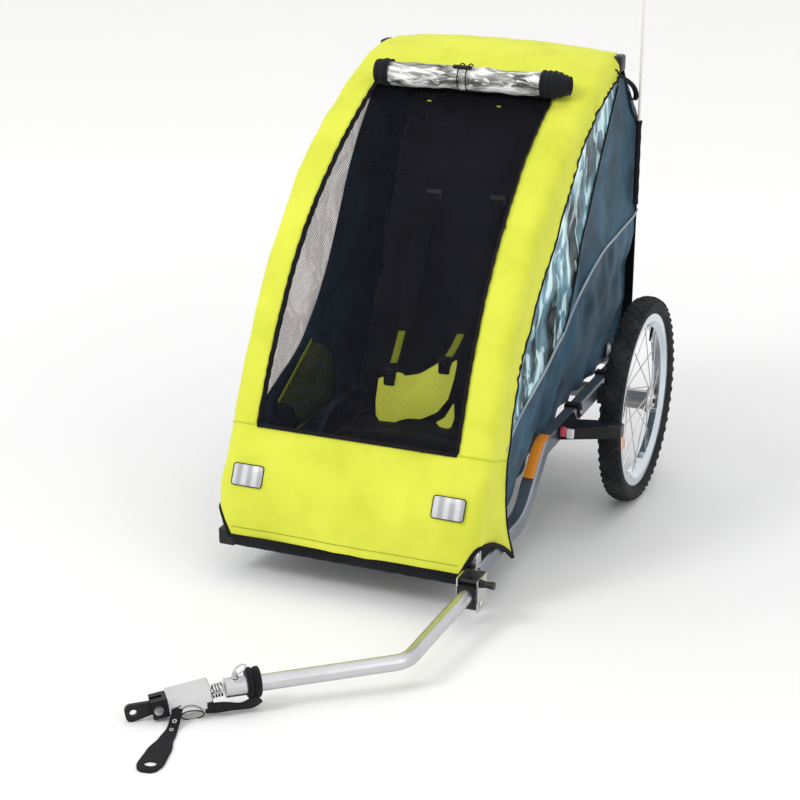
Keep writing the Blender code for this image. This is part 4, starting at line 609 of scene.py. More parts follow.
def cloth(name, rows, look, thickness, outward, wave, skip=None):
    """A sheet through rows of points, moved along its normals by wave(row share, column share, point)."""
    high, wide = len(rows), len(rows[0])
    i, j = high // 2, wide // 2
    middle = (rows[i][j + 1] - rows[i][j - 1]).cross(rows[i + 1][j] - rows[i - 1][j])
    facing = 1 if middle.dot(Vector(outward)) > 0 else -1
    points = []
    for i, row in enumerate(rows):
        for j, point in enumerate(row):
            move = wave(i / (high - 1), j / (wide - 1), point)
            points.append(BODY @ (point + sheet_normal(rows, i, j) * facing * move))
    faces = []
    for i in range(high - 1):
        for j in range(wide - 1):
            if skip and skip(i, j):
                continue
            a = i * wide + j
            face = [a, a + 1, a + wide + 1, a + wide]
            faces.append(face if facing > 0 else face[::-1])
    mesh = bpy.data.meshes.new(name)
    mesh.from_pydata(points, [], faces)
    width, length = length_of(rows[high // 2]), length_of([row[wide // 2] for row in rows])
    layer = mesh.uv_layers.new(name="cut")
    for loop in mesh.loops:
        i, j = divmod(loop.vertex_index, wide)
        layer.data[loop.index].uv = (width * j / (wide - 1), length * i / (high - 1))
    obj = made_object(name, mesh, look, 60)
    solid = obj.modifiers.new("thickness", "SOLIDIFY")
    solid.thickness = thickness
    solid.offset = -1
    return obj


def settle(obj):
    """Turn a piece's modifiers into its mesh."""
    graph = bpy.context.evaluated_depsgraph_get()
    mesh = bpy.data.meshes.new_from_object(obj.evaluated_get(graph))
    obj.modifiers.clear()
    obj.data = mesh
    return obj


def cut_out(obj, cutters):
    """Take the cutters' forms out of a piece and remove them."""
    for form in cutters:
        boolean = obj.modifiers.new("cut", "BOOLEAN")
        boolean.operation = "DIFFERENCE"
        boolean.solver = "EXACT"
        boolean.object = form
    settle(obj)
    for form in cutters:
        bpy.data.objects.remove(form, do_unlink=True)


def declare(obj, flat, held, *rests_on):
    """Work out a sheet's area, half the closed sheet's surface, and drop it; nothing is declared. flat (the
    cut's width and length), held and rests_on are not used.
    """
    graph = bpy.context.evaluated_depsgraph_get()
    area = sum(face.area for face in obj.evaluated_get(graph).to_mesh().polygons) / 2


def stand_for(obj, nodes):
    """Hide the solids that the piece stands for."""
    if nodes:
        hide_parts(*nodes)
    return obj


def dress(obj, body, *nodes, slot=None):
    """Let a piece ride on one body."""
    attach(obj, body)
    return stand_for(obj, nodes)


def bend_between(obj, a, b, start, end, *nodes):
    """Bake a piece's place into its mesh and hide the solids that it stands for; it does not bend. The bodies
    a and b and the spots start and end have no effect.
    """
    BODY @ end
    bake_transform(obj)
    stand_for(obj, nodes)


def sheet(name, rows, look, thickness, outward, wave, body, nodes, flat, held, *rests_on):
    """A finished sheet that rides on one body."""
    obj = dress(settle(cloth(name, rows, look, thickness, outward, wave)), body, *nodes)
    declare(obj, flat, held, *rests_on)
    return obj


def fold_down(obj):
    """Give a soft piece its own copy of its mesh; it is not flattened as the cage folds."""
    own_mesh(obj)


COVER = curve(in_side_view(COVER_LINE), ROW_STEPS)
COVER_OUT = line_normals(COVER)
FLAP = curve(in_side_view(FLAP_LINE), ROW_STEPS)


def window_half(share):
    t = min(max((share - WINDOW_LOW) / (WINDOW_HIGH - WINDOW_LOW), 0.0), 1.0)
    return WINDOW_HALF[0] + (WINDOW_HALF[1] - WINDOW_HALF[0]) * t


def cover_row(i):
    """One section of the cover, from its left edge over the middle to its right edge."""
    share = i / ROW_STEPS
    spot, out, edge = COVER[i], COVER_OUT[i], FLAP[i]
    crown = CROWN * ease(WINDOW_HIGH, WINDOW_HIGH + 1.5, share)
    r = CORNER + (ROOF_CORNER - CORNER) * ease(WINDOW_HIGH + 1, WINDOW_HIGH + 2, share)
    window = window_half(share)
    half = [spot + out * crown * (1 - 0.7 * (k / WINDOW_COLUMNS) ** 2) + at(window * k / WINDOW_COLUMNS, 0, 0)
            for k in range(WINDOW_COLUMNS)]
    for k in range(BORDER_COLUMNS):
        t = k / BORDER_COLUMNS
        half.append(spot + out * crown * 0.3 * (1 - t) + at(window + (HALF - r - window) * t, 0, 0))
    half += rounded_turn(spot, out, r, HALF, BEND_COLUMNS)
    corner = spot - out * r
    half += [corner.lerp(edge, k / FLAP_COLUMNS) + at(HALF, 0, 0) for k in range(1, FLAP_COLUMNS + 1)]
    return both_halves(half)


COVER_ROWS = [cover_row(i) for i in range(len(COVER))]
LAST_ROW = len(COVER_ROWS) - 1
COLUMNS = len(COVER_ROWS[0])
MIDDLE = COLUMNS // 2
SPANS = len(COVER_LINE) - 1


def cover_wave(up, across, point):
    """Soft creases everywhere, gathers along the piped edges and at the seam under the window."""
    column = abs(across - 0.5) * 2 * MIDDLE
    edge = column - (MIDDLE - FLAP_COLUMNS)
    from_edge = 1 - edge / FLAP_COLUMNS
    move = ripple(point, 0.16, 0.0045) + ripple(point, 0.05, 0.0022, 3.0)
    border = abs(column - WINDOW_COLUMNS)
    drawn = math.exp(-border * 0.5) * ease(1.5, 2.5, up * SPANS) * ease(9.6, 8.8, up * SPANS)
    move += 0.0012 * drawn * math.sin((point.z + point.y) * 150 + 6 * noise.noise(point * 15))
    if edge > 0:
        gather = ((math.exp(-from_edge * 3.5) - 0.75 * math.exp(-from_edge * 14))
                  * (0.55 + noise.noise(point * 8)))
        move += 0.0052 * gather * math.sin((point.z + point.y) * 175 + 7 * noise.noise(point * 13))
        move -= 0.0030 * math.sin(PI * min(max(from_edge, 0.0), 1.0))
    seam = abs(up * SPANS - WINDOW_LOW)
    move += 0.0016 * math.exp(-seam * 3.5) * math.sin(point.x * 2 * PI / 0.043 + 2 * noise.noise(point * 12))
    return move


def cutter(low, high):
    """A closed form between two outlines."""
    return link("cutter", Form().rings([low, high]).mesh("cutter"))


# Where the cover's hem would stay with the frame and from where on it would go with the front cage;
# bend_between does not use them
COVER_HINGE = (at(0, -0.70, 0.13), at(0, -0.64, 0.30))
STITCH = 0.0042


def front_cover():
    """The lime cover: lower panel, window frame, roof and side flaps in one sheet."""

    def in_window(i, j):
        return (WINDOW_LOW * ROW_STEPS <= i < WINDOW_HIGH * ROW_STEPS
                and abs(j + 0.5 - MIDDLE) < WINDOW_COLUMNS)

    obj = cloth("cover_cloth", COVER_ROWS, LIME, 0.0016, (0, -1, 1), cover_wave, in_window)
    low, wide = FLAP_LINE[0][1] - 0.03, 0.28
    front_y, arch_z = ARCH_LINE[0]
    front = [(ARCH_FRONT_LINE[0][0], low), *ARCH_FRONT_LINE, (wide, arch_z), (wide, low)]
    flank = [*ARCH_LINE, (ARCH_LINE[-1][0], low), (front_y, low)]
    cutters = []
    for side in (1, -1):
        cutters.append(cutter(*([at(side * x, y, z) for x, z in front] for y in (-0.75, front_y + 0.0005))))
        cutters.append(cutter(*(in_side_view(flank, x) for x in sorted((side * 0.2145, side * wide)))))
    cut_out(obj, cutters)
    obj.data.shade_smooth()
    bend_between(obj, "frame", "front_cage", *COVER_HINGE, "front_cover")
    declare(obj, (0.72, 1.19), "stretched", "front_hoop", "hem_band")


def cover_spot(i, j, lift=0.0):
    """A place on the moved cover, lifted off it."""
    point = COVER_ROWS[i][j]
    normal = sheet_normal(COVER_ROWS, i, j)
    if normal.dot(COVER_OUT[i]) + normal.x * point.x * 20 < 0:
        normal = -normal
    return point + normal * (cover_wave(i / LAST_ROW, j / (COLUMNS - 1), point) + lift)


def cover_trims():
    """Piping round the cover's edges, the window's binding, the seam under it and the stitches."""
    rows = range(0, LAST_ROW + 1, 2)
    form = Form().tube([cover_spot(i, COLUMNS - 1) for i in rows], ring(0.0022, 8), ALONG_X)
    form.tube([cover_spot(i, 0) for i in reversed(rows)], ring(0.0022, 8), ALONG_X)
    bend_between(form.piece("cover_edge_piping", BINDING), "frame", "front_cage", *COVER_HINGE)
    hem = curve(HEM_CORNER, 4)
    hem = [at(-p.x, p.y, p.z) for p in reversed(hem)] + hem
    form = Form().tube(hem, ring(0.0040, 8), ALONG_Y)
    bend_between(form.piece("hem_piping", BINDING), "frame", "front_cage", *COVER_HINGE)
    low, high = WINDOW_LOW * ROW_STEPS, WINDOW_HIGH * ROW_STEPS
    a, b = MIDDLE - WINDOW_COLUMNS, MIDDLE + WINDOW_COLUMNS
    loop = [(i, a) for i in range(low, high)] + [(high, j) for j in range(a, b)]
    loop += [(i, b) for i in range(high, low, -1)] + [(low, j) for j in range(b, a, -1)]
    binding = Form().tube([cover_spot(i, j, 0.0006) for i, j in loop], outline(0.0045, 0.0013, 0.0012, 2),
                          ALONG_X, closed=True)
    binding.dress("window_binding", BINDING, "front_cage")
    seam = [cover_spot(low, j, 0.0004) for j in range(1, COLUMNS - 1)]
    Form().tube(seam, ring(0.0014, 6), (0, 1, 1)).dress("cover_seam", LIME_TRIM, "front_cage")
    row = ROW_STEPS // 5
    front = [cover_spot(row, j, 0.0008) for j in range(COLUMNS) if abs(COVER_ROWS[row][j].x) < 0.212]
    stitches("hem_stitches", front, "frame", BINDING)
    for name, column in (("left", b + 1), ("right", a - 1)):
        path = [cover_spot(i, column, 0.0003) for i in range(low, high)]
        stitches("window_stitches_" + name, path, "front_cage", LIME_TRIM)


def stitches(name, path, body, look):
    """A run of short threads."""
    spots = evenly(path, 2 * int(length_of(path) / STITCH))
    form = Form()
    for first, second in zip(spots[::2], spots[1::2]):
        form.tube([first, first.lerp(second, 0.5), second], ring(0.0005, 5))
    form.dress(name, look, body, slot=BLACK_SLOT)


def window_mesh():
    """The net behind the window, drawn tight with a slight sag."""
    rows = []
    for i in range(WINDOW_LOW * ROW_STEPS - 1, WINDOW_HIGH * ROW_STEPS + 2, 2):
        half = window_half(i / ROW_STEPS) + 0.006
        base = COVER[i] - COVER_OUT[i] * 0.0030
        rows.append([base + at(half * (k / 16 - 1), 0, 0) for k in range(33)])

    def sag(up, across, point):
        return -0.006 * math.sin(PI * up) * math.sin(PI * across) + ripple(point, 0.2, 0.002, 5.0)

    sheet("window_net_sheet", rows, WINDOW_NET, 0.0006, (0, -1, 1), sag, "front_cage", ["front_mesh"],
          (0.376, 0.725), "stretched", "cover_cloth")
    row = round(8.55 * ROW_STEPS)
    ticks = Form()
    for x in (-0.050, 0.083):
        spot = COVER[row] + COVER_OUT[row] * 0.001 + at(x, 0, 0)
        ticks.tube([spot + at(k * 0.0035, 0, 0) for k in range(-1, 2)], outline(0.0010, 0.0005, 0.0004, 1))
    ticks.dress("net_ticks", LIME_TRIM, "front_cage")


def loft_between(first, second, count, steps, bulge=1.0):
    """Rows between two edges; x comes along by each row's share to the power of bulge."""
    first, second = evenly(first, count), evenly(second, count)
    shares = [k / steps for k in range(steps + 1)]
    return [[at(a.x + (b.x - a.x) * t**bulge, a.y + (b.y - a.y) * t, a.z + (b.z - a.z) * t)
             for a, b in zip(first, second)] for t in shares]


def side_pieces(name, side):
    """Clear window, reflecting piping and the dark cloth, which curves in to the floor below it."""

    def edge_of(points, x=SIDE_X, steps=4):
        return curve(in_side_view(points, side * x), steps)

    def wall(kind, rows, look, thickness, wave, nodes, flat, held, *rests_on):
        return sheet(kind + name, rows, look, thickness, (side, 0, 0), wave, "frame", nodes, flat, held,
                     *rests_on)

    left = side > 0
    film_low = FILM_LOW_LINE if left else RIGHT_LOW_LINE
    film_edge = FILM_LOW_LINE + FILM_REAR_LINE if left else RIGHT_FILM_LINE
    rows = loft_between(edge_of(FLAP_LINE[2:], FLAP_X), edge_of(film_edge), 72, 16)
    window = wall("side_film_", rows, LIT_FILM if left else GLOWING_FILM, 0.0006,
                  creased(0.5, 0.003, (0.06, 0.008, 2.0), (0.022, 0.0030, 7.0)), ["side_window_" + name],
                  (0.66, 0.22), "stretched", "side_cloth_" + name)
    ahead = edge_of(FILM_REAR_LINE if left else RIGHT_FILM_LINE)
    behind = edge_of(PIPING_REAR_LINE if left else RIGHT_LOW_LINE + PIPING_REAR_LINE)
    top = edge_of([FILM_REAR_LINE[-1], CLOTH_REAR_LINE[-1]], steps=3)
    rear = edge_of(PIPING_REAR_LINE[-1:] + CLOTH_REAR_LINE)
    rows = loft_between(ahead + top[1:], behind + rear[1:], 72, 18)
    upper = wall("side_cloth_", rows, SLATE_WITH_PAINTED_SHEEN, 0.0012,
                 creased(0.6, 0.003, (0.09, 0.010, 1.0), (0.03, 0.0028, 4.0)), ["side_panel_" + name],
                 (0.50, 0.36), "stretched", "rear_hoop", "floor_panel")
    piping = edge_of(film_low + PIPING_REAR_LINE)
    low = curve([(side * x, y, z) for x, y, z in FLOOR_EDGE], 4)
    rows = loft_between(piping, low, 96, 26, 1.9)

    def gathers(up, across, point):
        pulled = math.exp(-up * 4.0) - 0.6 * math.exp(-up * 30)
        tucked = math.exp(-(1 - up) * 5.0)
        move = (0.0042 * pulled * math.sin(across * 78 + 3 * noise.noise(point * 11))
                * (0.7 + noise.noise(point * 5)))
        move += 0.0035 * tucked * math.sin(across * 52 + 2)
        shape = math.sin(PI * up) ** 0.5
        return move + (ripple(point, 0.075, 0.014, 1.0) + ripple(point, 0.03, 0.004, 4.0) - 0.004) * shape

    lower = wall("side_skirt_", rows, SLATE_WITH_PAINTED_SHEEN, 0.0012, gathers, [], (0.85, 0.34), "gathered",
                 "side_cloth_" + name, "floor_cloth")
    pipe = Form().tube([p + at(side * 0.0016, 0, 0) for p in piping], ring(0.0024, 8), ALONG_X)
    welt = Form().tube([p + at(side * 0.0012, 0, 0) for p in ahead], ring(0.0014, 8), ALONG_X)
    trim = pipe.dress("side_piping_" + name, SILVER_PIPE, "frame")
    seam = welt.dress("film_seam_" + name, BINDING, "frame")
    for obj in (window, upper, lower, trim, seam):
        fold_down(obj)


def rear_sheet():
    line = curve(in_side_view(REAR_LINE), 10)
    half, turn = 0.2385, 0.022
    face = [at((half - turn) * k / 20, 0, 0) for k in range(20)]
    rows = []
    for p, out in zip(line, line_normals(line)):
        corner = rounded_turn(p, -out if out.y < 0 else out, turn, half, 6)
        rows.append(both_halves([p + step for step in face] + corner))

    def slack(up, across, point):
        shape = math.sin(PI * up) * math.sin(PI * across)
        tuck = math.exp(-(1 - up) * 6) * math.sin(point.x * 2 * PI / 0.06)
        return (ripple(point, 0.13, 0.008, 6.0) + ripple(point, 0.04, 0.002, 2.0)) * shape + 0.002 * tuck

    obj = settle(cloth("rear_cloth", rows, BLACK, 0.0014, (0, 1, 0.2), slack))
    bend_between(obj, "frame", "rear_cage", at(0, 0.21, 0.26), at(0, 0.20, 0.40), "rear_panel")
    declare(obj, (0.53, 0.70), "stretched", "rear_hoop")


def floor_sheet():
    """The floor cloth, which follows the rails and sags a little between the cross members."""
    line = evenly(curve(in_side_view(FLOOR_LINE), 6), 72)
    rows = [[p + at(0.193 * (k / 20 - 1), 0, 0) for k in range(41)] for p in line]

    def sag(up, across, point):
        return -0.004 * math.sin(PI * across) * abs(math.sin(3 * PI * up)) + ripple(point, 0.05, 0.0014, 8.0)

    sheet("floor_cloth", rows, BLACK, 0.0024, (0, 0, 1), sag, "frame", ["floor_panel"], (0.386, 0.94),
          "stretched", "axle_beam", "rear_crossbar")


def hem_cloth():
    """The black band under the cover's hem."""
    rows = [[at(0.2065 * (k / 30 - 1), -0.7036 + 0.0006 * math.sin(k * 1.3), z) for k in range(61)]
            for z in (0.1008, 0.1050, 0.1095, 0.1140, 0.1172)]
    sheet("hem_band_cloth", rows, BLACK, 0.0014, (0, -1, 0), creased(0, 0, (0.03, 0.0012)), "frame",
          ["hem_band"], (0.415, 0.019), "stretched", "front_crossbar")


PAD_GRAIN = 0.006
PAD_PRESSURE = 4.0
PAD_STEPS = 20


def pad_out(obj, cap):
    """Swell a closed form like stuffed cloth: remesh, inflate as cloth, cap how far it moves."""
    remesh = obj.modifiers.new("even", "REMESH")
    remesh.mode = "VOXEL"
    remesh.voxel_size = PAD_GRAIN
    settle(obj)
    start = [v.co.copy() for v in obj.data.vertices]
    modifier = obj.modifiers.new("cloth", "CLOTH")
    modifier.settings.use_pressure = True
    modifier.settings.uniform_pressure_force = PAD_PRESSURE
    modifier.settings.effector_weights.gravity = 0
    modifier.settings.quality = 4
    for step in range(1, PAD_STEPS + 1):
        bpy.context.scene.frame_set(step)
    settle(obj)
    bpy.context.scene.frame_set(1)
    for vertex, first in zip(obj.data.vertices, start):
        move = vertex.co - first
        if move.length > cap:
            vertex.co = first + move.normalized() * cap
    smooth = obj.modifiers.new("soft", "SUBSURF")
    smooth.levels = smooth.render_levels = 1
    settle(obj)
    obj.data.shade_smooth()


def cushion(name, rows, thickness, channels, cap, node):
    """A closed pad over rows of points, thin at its edges and drawn in at its channels."""
    high, wide = len(rows), len(rows[0])
    form = Form()
    for sign in (1, -1):
        for i, row in enumerate(rows):
            for j, point in enumerate(row):
                up, across = i / (high - 1), j / (wide - 1)
                round_off = (1 - (2 * up - 1) ** 8) * (1 - (2 * across - 1) ** 8)
                draw = 1 - 0.6 * sum(math.exp(-((up - c) / 0.02) ** 2) for c in channels)
                swell = thickness / 2 * max(round_off, 0.0) ** 0.5 * draw
                form.points.append(point + sheet_normal(rows, i, j) * sign * swell)
    base = high * wide
    for i in range(high - 1):
        for j in range(wide - 1):
            a = i * wide + j
            form.faces.append([a, a + 1, a + wide + 1, a + wide])
            form.faces.append([base + a, base + a + wide, base + a + wide + 1, base + a + 1])
    rim = list(range(wide)) + [i * wide + wide - 1 for i in range(1, high)]
    rim += ([base - wide + j for j in reversed(range(wide - 1))]
            + [i * wide for i in reversed(range(1, high - 1))])
    form.faces += [[a, base + a, base + b, b] for a, b in zip(rim, rim[1:] + rim[:1])]
    obj = made_object(name, form.mesh(name, 0.0002), PAD, 60)
    pad_out(obj, cap)
    dress(obj, "frame", node)
    return obj


SEAT_FOOT, SEAT_TOP = at(0, -0.3060, 0.2385), at(0, -0.034, 0.783)


def seat_pieces():
    rise = (SEAT_TOP - SEAT_FOOT).normalized()
    normal = at(0, -rise.z, rise.y)
    columns = [k / 12 - 1 for k in range(25)]
    rows = [[SEAT_FOOT.lerp(SEAT_TOP, i / 45) + at(0.158 * c, 0, 0) - normal * (0.010 * (1 - c**2))
             for c in columns] for i in range(46)]
    back = cushion("seat_back_pad", rows, 0.014, (0.18, 0.42, 0.68, 0.90), 0.004, "seat_back")
    fold_down(back)
    rows = [[at(0.146 * c, -0.481 + 0.172 * i / 24, 0.213 + 0.010 * math.sin(PI * k / 24))
             for k, c in enumerate(columns)] for i in range(25)]
    cushion("seat_pad", rows, 0.030, (0.33, 0.66), 0.006, "seat_base")
    rows = [[at(0.147 * c, -0.4835, z) for c in columns] for z in (0.128, 0.150, 0.175, 0.196)]
    sheet("seat_skirt", rows, BLACK, 0.0014, (0, -1, 0), creased(0, 0, (0.05, 0.004)), "frame", [],
          (0.296, 0.075), "hung", "seat_pad")


def flat_pad(line, y, count, outer, inner, share):
    """The edge of a closed line of x and z, and a flat form cut along it with thinned edges."""
    edge = evenly([at(x, y, z) for x, z in line + line[:1]], count)[:-1]
    middle = sum(edge, Vector()) / len(edge)
    layers = ((outer, share), (inner, 1.0), (-inner, 1.0), (-outer, share))
    form = Form().rings([[middle + (p - middle) * size + at(0, depth, 0) for p in edge]
                         for depth, size in layers])
    return edge, form


def harness():
    """The lime pad between the legs, cut out for its buckles, and the two shoulder straps."""
    edge, form = flat_pad(CROTCH_PAD, -0.395, 121, 0.0030, 0.0022, 0.98)
    pad = form.dress("crotch_pad", GLOWING_HARNESS_LIME, "frame", "harness_panel")
    welt = Form().tube([p + at(0, -0.0004, 0) for p in edge], ring(0.0022, 6), ALONG_Y, closed=True)
    welt.dress("crotch_pad_binding", BINDING, "frame")
    _, tail = flat_pad(PAD_TAIL, -0.385, 41, 0.0022, 0.0012, 0.97)
    tail.dress("crotch_pad_tail", GLOWING_HARNESS_LIME, "frame")
    buckle = Form()
    for x, z in ((-0.041, 0.330), (0.064, 0.366)):
        buckle.slab((x, -0.4025, z), (0.0105, 0.0042, 0.0150), 0.004, 0.0015)
        buckle.slab((x, -0.4080, z), (0.0055, 0.0014, 0.0085), 0.003, 0.0008)
    buckle.dress("harness_buckles", PLASTIC, "frame")
    for name, side in SIDES.items():
        low = at(0.064, -0.398, 0.372) if side > 0 else at(-0.041, -0.398, 0.336)
        path = curve([(side * 0.0636, -0.1372, 0.603), (side * 0.064, -0.180, 0.560),
                      (side * 0.062, -0.222, 0.490), (side * 0.060, -0.262, 0.425),
                      low.lerp(at(side * 0.058, -0.285, 0.395), 0.70),
                      low.lerp(at(side * 0.055, -0.300, 0.375), 0.35), low], 5)
        strap = Form().tube(path, outline(0.0135, 0.0012, 0.0011, 2), ALONG_X)
        stripe = Form().tube([p + at(0, -0.0012, 0.0012) for p in path[19:27]],
                             outline(0.0065, 0.0008, 0.0007, 2), ALONG_X)
        padding = Form().tube(path[5:16], outline(0.0200, 0.0042, 0.004, 3), ALONG_X)
        tab = Form().slab((side * 0.0636, -0.1290, 0.600), (0.015, 0.0035, 0.009), 0.003, 0.001)
        for form, kind, look in ((strap, "shoulder_strap_", BLACK_WEB), (stripe, "strap_stripe_", LIME_WEB),
                                 (padding, "shoulder_pad_", PAD), (tab, "shoulder_tab_", GREY)):
            piece = form.dress(kind + name, look, "frame")
            fold_down(piece)


def storage_net():
    """The net pocket on the right wall with its lime edge."""
    columns = []
    for k in range(21):
        t = k / 20
        y, z = -0.351 - 0.144 * t, 0.360 - 0.073 * t
        full = math.sin(PI * (0.15 + 0.75 * t))
        columns.append(curve([(-0.2170, y, z), (-0.200 + 0.012 * full, y - 0.002, z - 0.002),
                              (-0.186 + 0.026 * full, y, z - 0.026),
                              (-0.186 + 0.022 * full, y + 0.004, 0.262), (-0.190, y + 0.006, 0.236)], 4))
    rows = [list(row) for row in zip(*columns)]
    obj = sheet("pocket_net_sheet", rows, POCKET_NET, 0.0008, (1, 0, 0), creased(0, 0, (0.03, 0.003)),
                "frame", ["storage_pocket"], (0.165, 0.150), "hung", "side_cloth_right")
    trim = Form().tube(rows[0], outline(0.0050, 0.0010, 0.0009, 2), (0, 0.4, 1))
    trim.tube([column[-1] for column in columns], ring(0.0018, 6), ALONG_X)
    sides = Form().tube(columns[0], ring(0.0020, 6), ALONG_Y).tube(columns[-1], ring(0.0020, 6), ALONG_Y)
    edge = trim.dress("pocket_trim", LIME_WEB, "frame")
    bound = sides.dress("pocket_binding", BINDING, "frame")
    for piece in (obj, edge, bound):
        fold_down(piece)


ROLL_SPOT = at(0, -0.1601, 0.8291)


def rain_roll():
    """The clear rain cover rolled up over the window, with cloth cuffs, loops and a toggle."""
    turns, first, last, thickness, steps = 3.4, 0.0070, 0.0228, 0.0013, 90
    spiral = [(first + (last - first) * k / steps, 2 * PI * turns * k / steps + 2.3)
              for k in range(steps + 1)]
    spiral += [(r - thickness, a) for r, a in reversed(spiral)]
    section = [(r * math.cos(a), r * math.sin(a)) for r, a in spiral]
    made = []
    for k in range(45):
        x = -0.160 + 0.330 * k / 44
        lump = 1 + 0.025 * math.sin(x * 55) + 0.03 * math.sin(x * 131 + 1)
        lean = at(x, 0.0015 * math.sin(x * 23), 0.0012 * math.sin(x * 31 + 2))
        crumple = [1 + 0.10 * noise.noise(at(x * 22, a * 60, b * 60)) for a, b in section]
        made.append([ROLL_SPOT + lean + at(0, a * lump * c, b * lump * c)
                     for (a, b), c in zip(section, crumple)])
    Form().rings(made).dress("rain_roll", ROLL_FILM, "front_cage", "rain_cover_roll")
    cuffs = Form()
    for x0, x1 in ((-0.165, -0.136), (0.154, 0.205)):
        left = x0 > 0
        sizes = []
        for k in range(23):
            t = k / 22
            taper = 1 - (0.30 * ease(0.45, 1.0, t) if left else 0.10 * ease(0.6, 0.0, t))
            folds = (0.045 if left else 0.03) * math.sin(t * 2 * PI * (5 if left else 2))
            sizes.append((x0 + (x1 - x0) * t, taper * (1 + folds)))
        sizes += [(x1 - 0.006, 0.45), (x1 - 0.010, 0.25), (x0 + 0.004, 0.25), (x0 + 0.002, 0.45)]
        cuffs.rings([[ROLL_SPOT + at(x, a * size, b * size) for a, b in ring(0.0242, 28)]
                     for x, size in sizes], closed=True)
    cuffs.dress("roll_cuffs", BLACK, "front_cage", angle=30)
    loops = Form()
    for x in (0.000, 0.016):
        loops.tube([ROLL_SPOT + at(x, a, b) for a, b in ring(0.0252, 36)], ring(0.0012, 6), ALONG_X,
                   closed=True)
    loops.dress("roll_loops", BINDING, "front_cage")
    out = at(0, -0.63, 0.777)
    bar = ROLL_SPOT + out * 0.0288
    toggle = Form().tube([bar + at(x, 0, 0) for x in (-0.010, -0.008, 0.0, 0.008, 0.024, 0.026)],
                         outline(0.0042, 0.0030, 0.0026, 3), out,
                         size=lambda t: 0.75 + 0.25 * math.sin(PI * t) ** 0.4)
    toggle.dress("roll_toggle", PLASTIC, "front_cage")


def reflector_patches():
    up, out = at(0, 0.4254, 0.905), at(0, -0.905, 0.4254)
    for name, side in SIDES.items():
        centre = at(side * 0.1838, -0.6826, 0.2250) + out * 0.0036
        plate = Form().slab(centre, (0.0288, 0.0192, 0.0008), 0.005, 0.0004, (ALONG_X, up, out))
        plate.dress("reflector_patch_" + name, SILVER_PATCH, "front_cage")
        rim = [centre + ALONG_X * a + up * b + out * 0.0006 for a, b in outline(0.0284, 0.0188, 0.005, 5)]
        edge = Form().tube(rim, ring(0.0009, 6), out, closed=True)
        edge.dress("reflector_edge_" + name, BINDING, "front_cage")


def corner_caps():
    """The caps on the roof's front corners and the curled end of strap on the left one."""
    for name, side in SIDES.items():
        cap = Form().slab((side * 0.2330, 0.047, 0.836), (0.0085, 0.017, 0.015), 0.005, 0.003)
        cap.dress("roof_corner_cap_" + name, PLASTIC, "front_cage")
    strap = Form().tube(curve(CORNER_STRAP, 5), outline(0.0050, 0.0014, 0.0012, 2), (1, 0, 0.3))
    strap.dress("corner_strap_left", BINDING, "front_cage")


WHEEL_X, WHEEL_RADIUS = 0.310, 0.200
TREAD_WIDTH = 0.0207
KNOBS = 58


def wheel_centre(side):
    return at(side * WHEEL_X, 0, WHEEL_RADIUS)


def round_wheel(angle):
    """The ways out from the axle and along the tread."""
    return at(0, math.cos(angle), math.sin(angle)), at(0, -math.sin(angle), math.cos(angle))


# Each row of knobs: place across the tread, half width, half length, shift along the tread in knobs
TREAD_ROWS = ((0.0, 0.0060, 0.0050, 0.0), (0.0105, 0.0042, 0.0046, 0.5), (-0.0105, 0.0042, 0.0046, 0.5),
              (0.0178, 0.0030, 0.0055, 0.0), (-0.0178, 0.0030, 0.0055, 0.0))


def tyre(name, side):
    """A tyre with a knobbed tread."""
    centre = wheel_centre(side)
    wall = TYRE_WALL + [(-a, r) for a, r in reversed(TYRE_WALL[:-1])]
    turn = 96
    form = Form().rings([[centre + at(a, 0, 0) + round_wheel(2 * PI * k / turn)[0] * r for a, r in wall]
                         for k in range(turn)], closed=True)
    for across, half_a, half_t, shift in TREAD_ROWS:
        lean = across / TREAD_WIDTH
        radius = 0.1985 - 0.0092 * lean**2
        for k in range(KNOBS):
            radial, ahead = round_wheel(2 * PI * (k + shift) / KNOBS)
            out = (radial * (1 - 0.45 * lean**2) + at(lean * 0.75, 0, 0)).normalized()
            sideways = ahead.cross(out)
            spot = centre + at(across, 0, 0) + radial * radius
            foot = [spot + sideways * a + ahead * b - out * 0.0014
                    for a, b in outline(half_a, half_t, 0.001, 1)]
            top = [spot + sideways * a + ahead * b + out * (0.0010 + 0.0016 * abs(lean))
                   for a, b in outline(half_a * 0.82, half_t * 0.82, 0.001, 1)]
            form.rings([foot, top])
    form.dress("knobbed_tyre_" + name, TYRE, "wheel_" + name, "tyre_" + name, angle=35)


def wheel_details(name, side):
    """The spoke reflector and the valve stem."""
    centre = wheel_centre(side)
    radial, ahead = round_wheel(math.radians(203))
    lens = Form().slab(centre + radial * 0.118, (0.0045, 0.024, 0.009), 0.003, 0.0015,
                       (ALONG_X, ahead, radial))
    lens.dress("spoke_reflector_" + name, AMBER, "wheel_" + name)
    valve = Form().tube([centre + at(0, 0.60, 0.80) * r for r in (0.142, 0.128, 0.1275, 0.120)],
                        ring(0.0030, 10), ALONG_X, size=lambda t: 1.0 if t < 0.5 else 0.75)
    valve.dress("valve_stem_" + name, PLASTIC, "wheel_" + name)


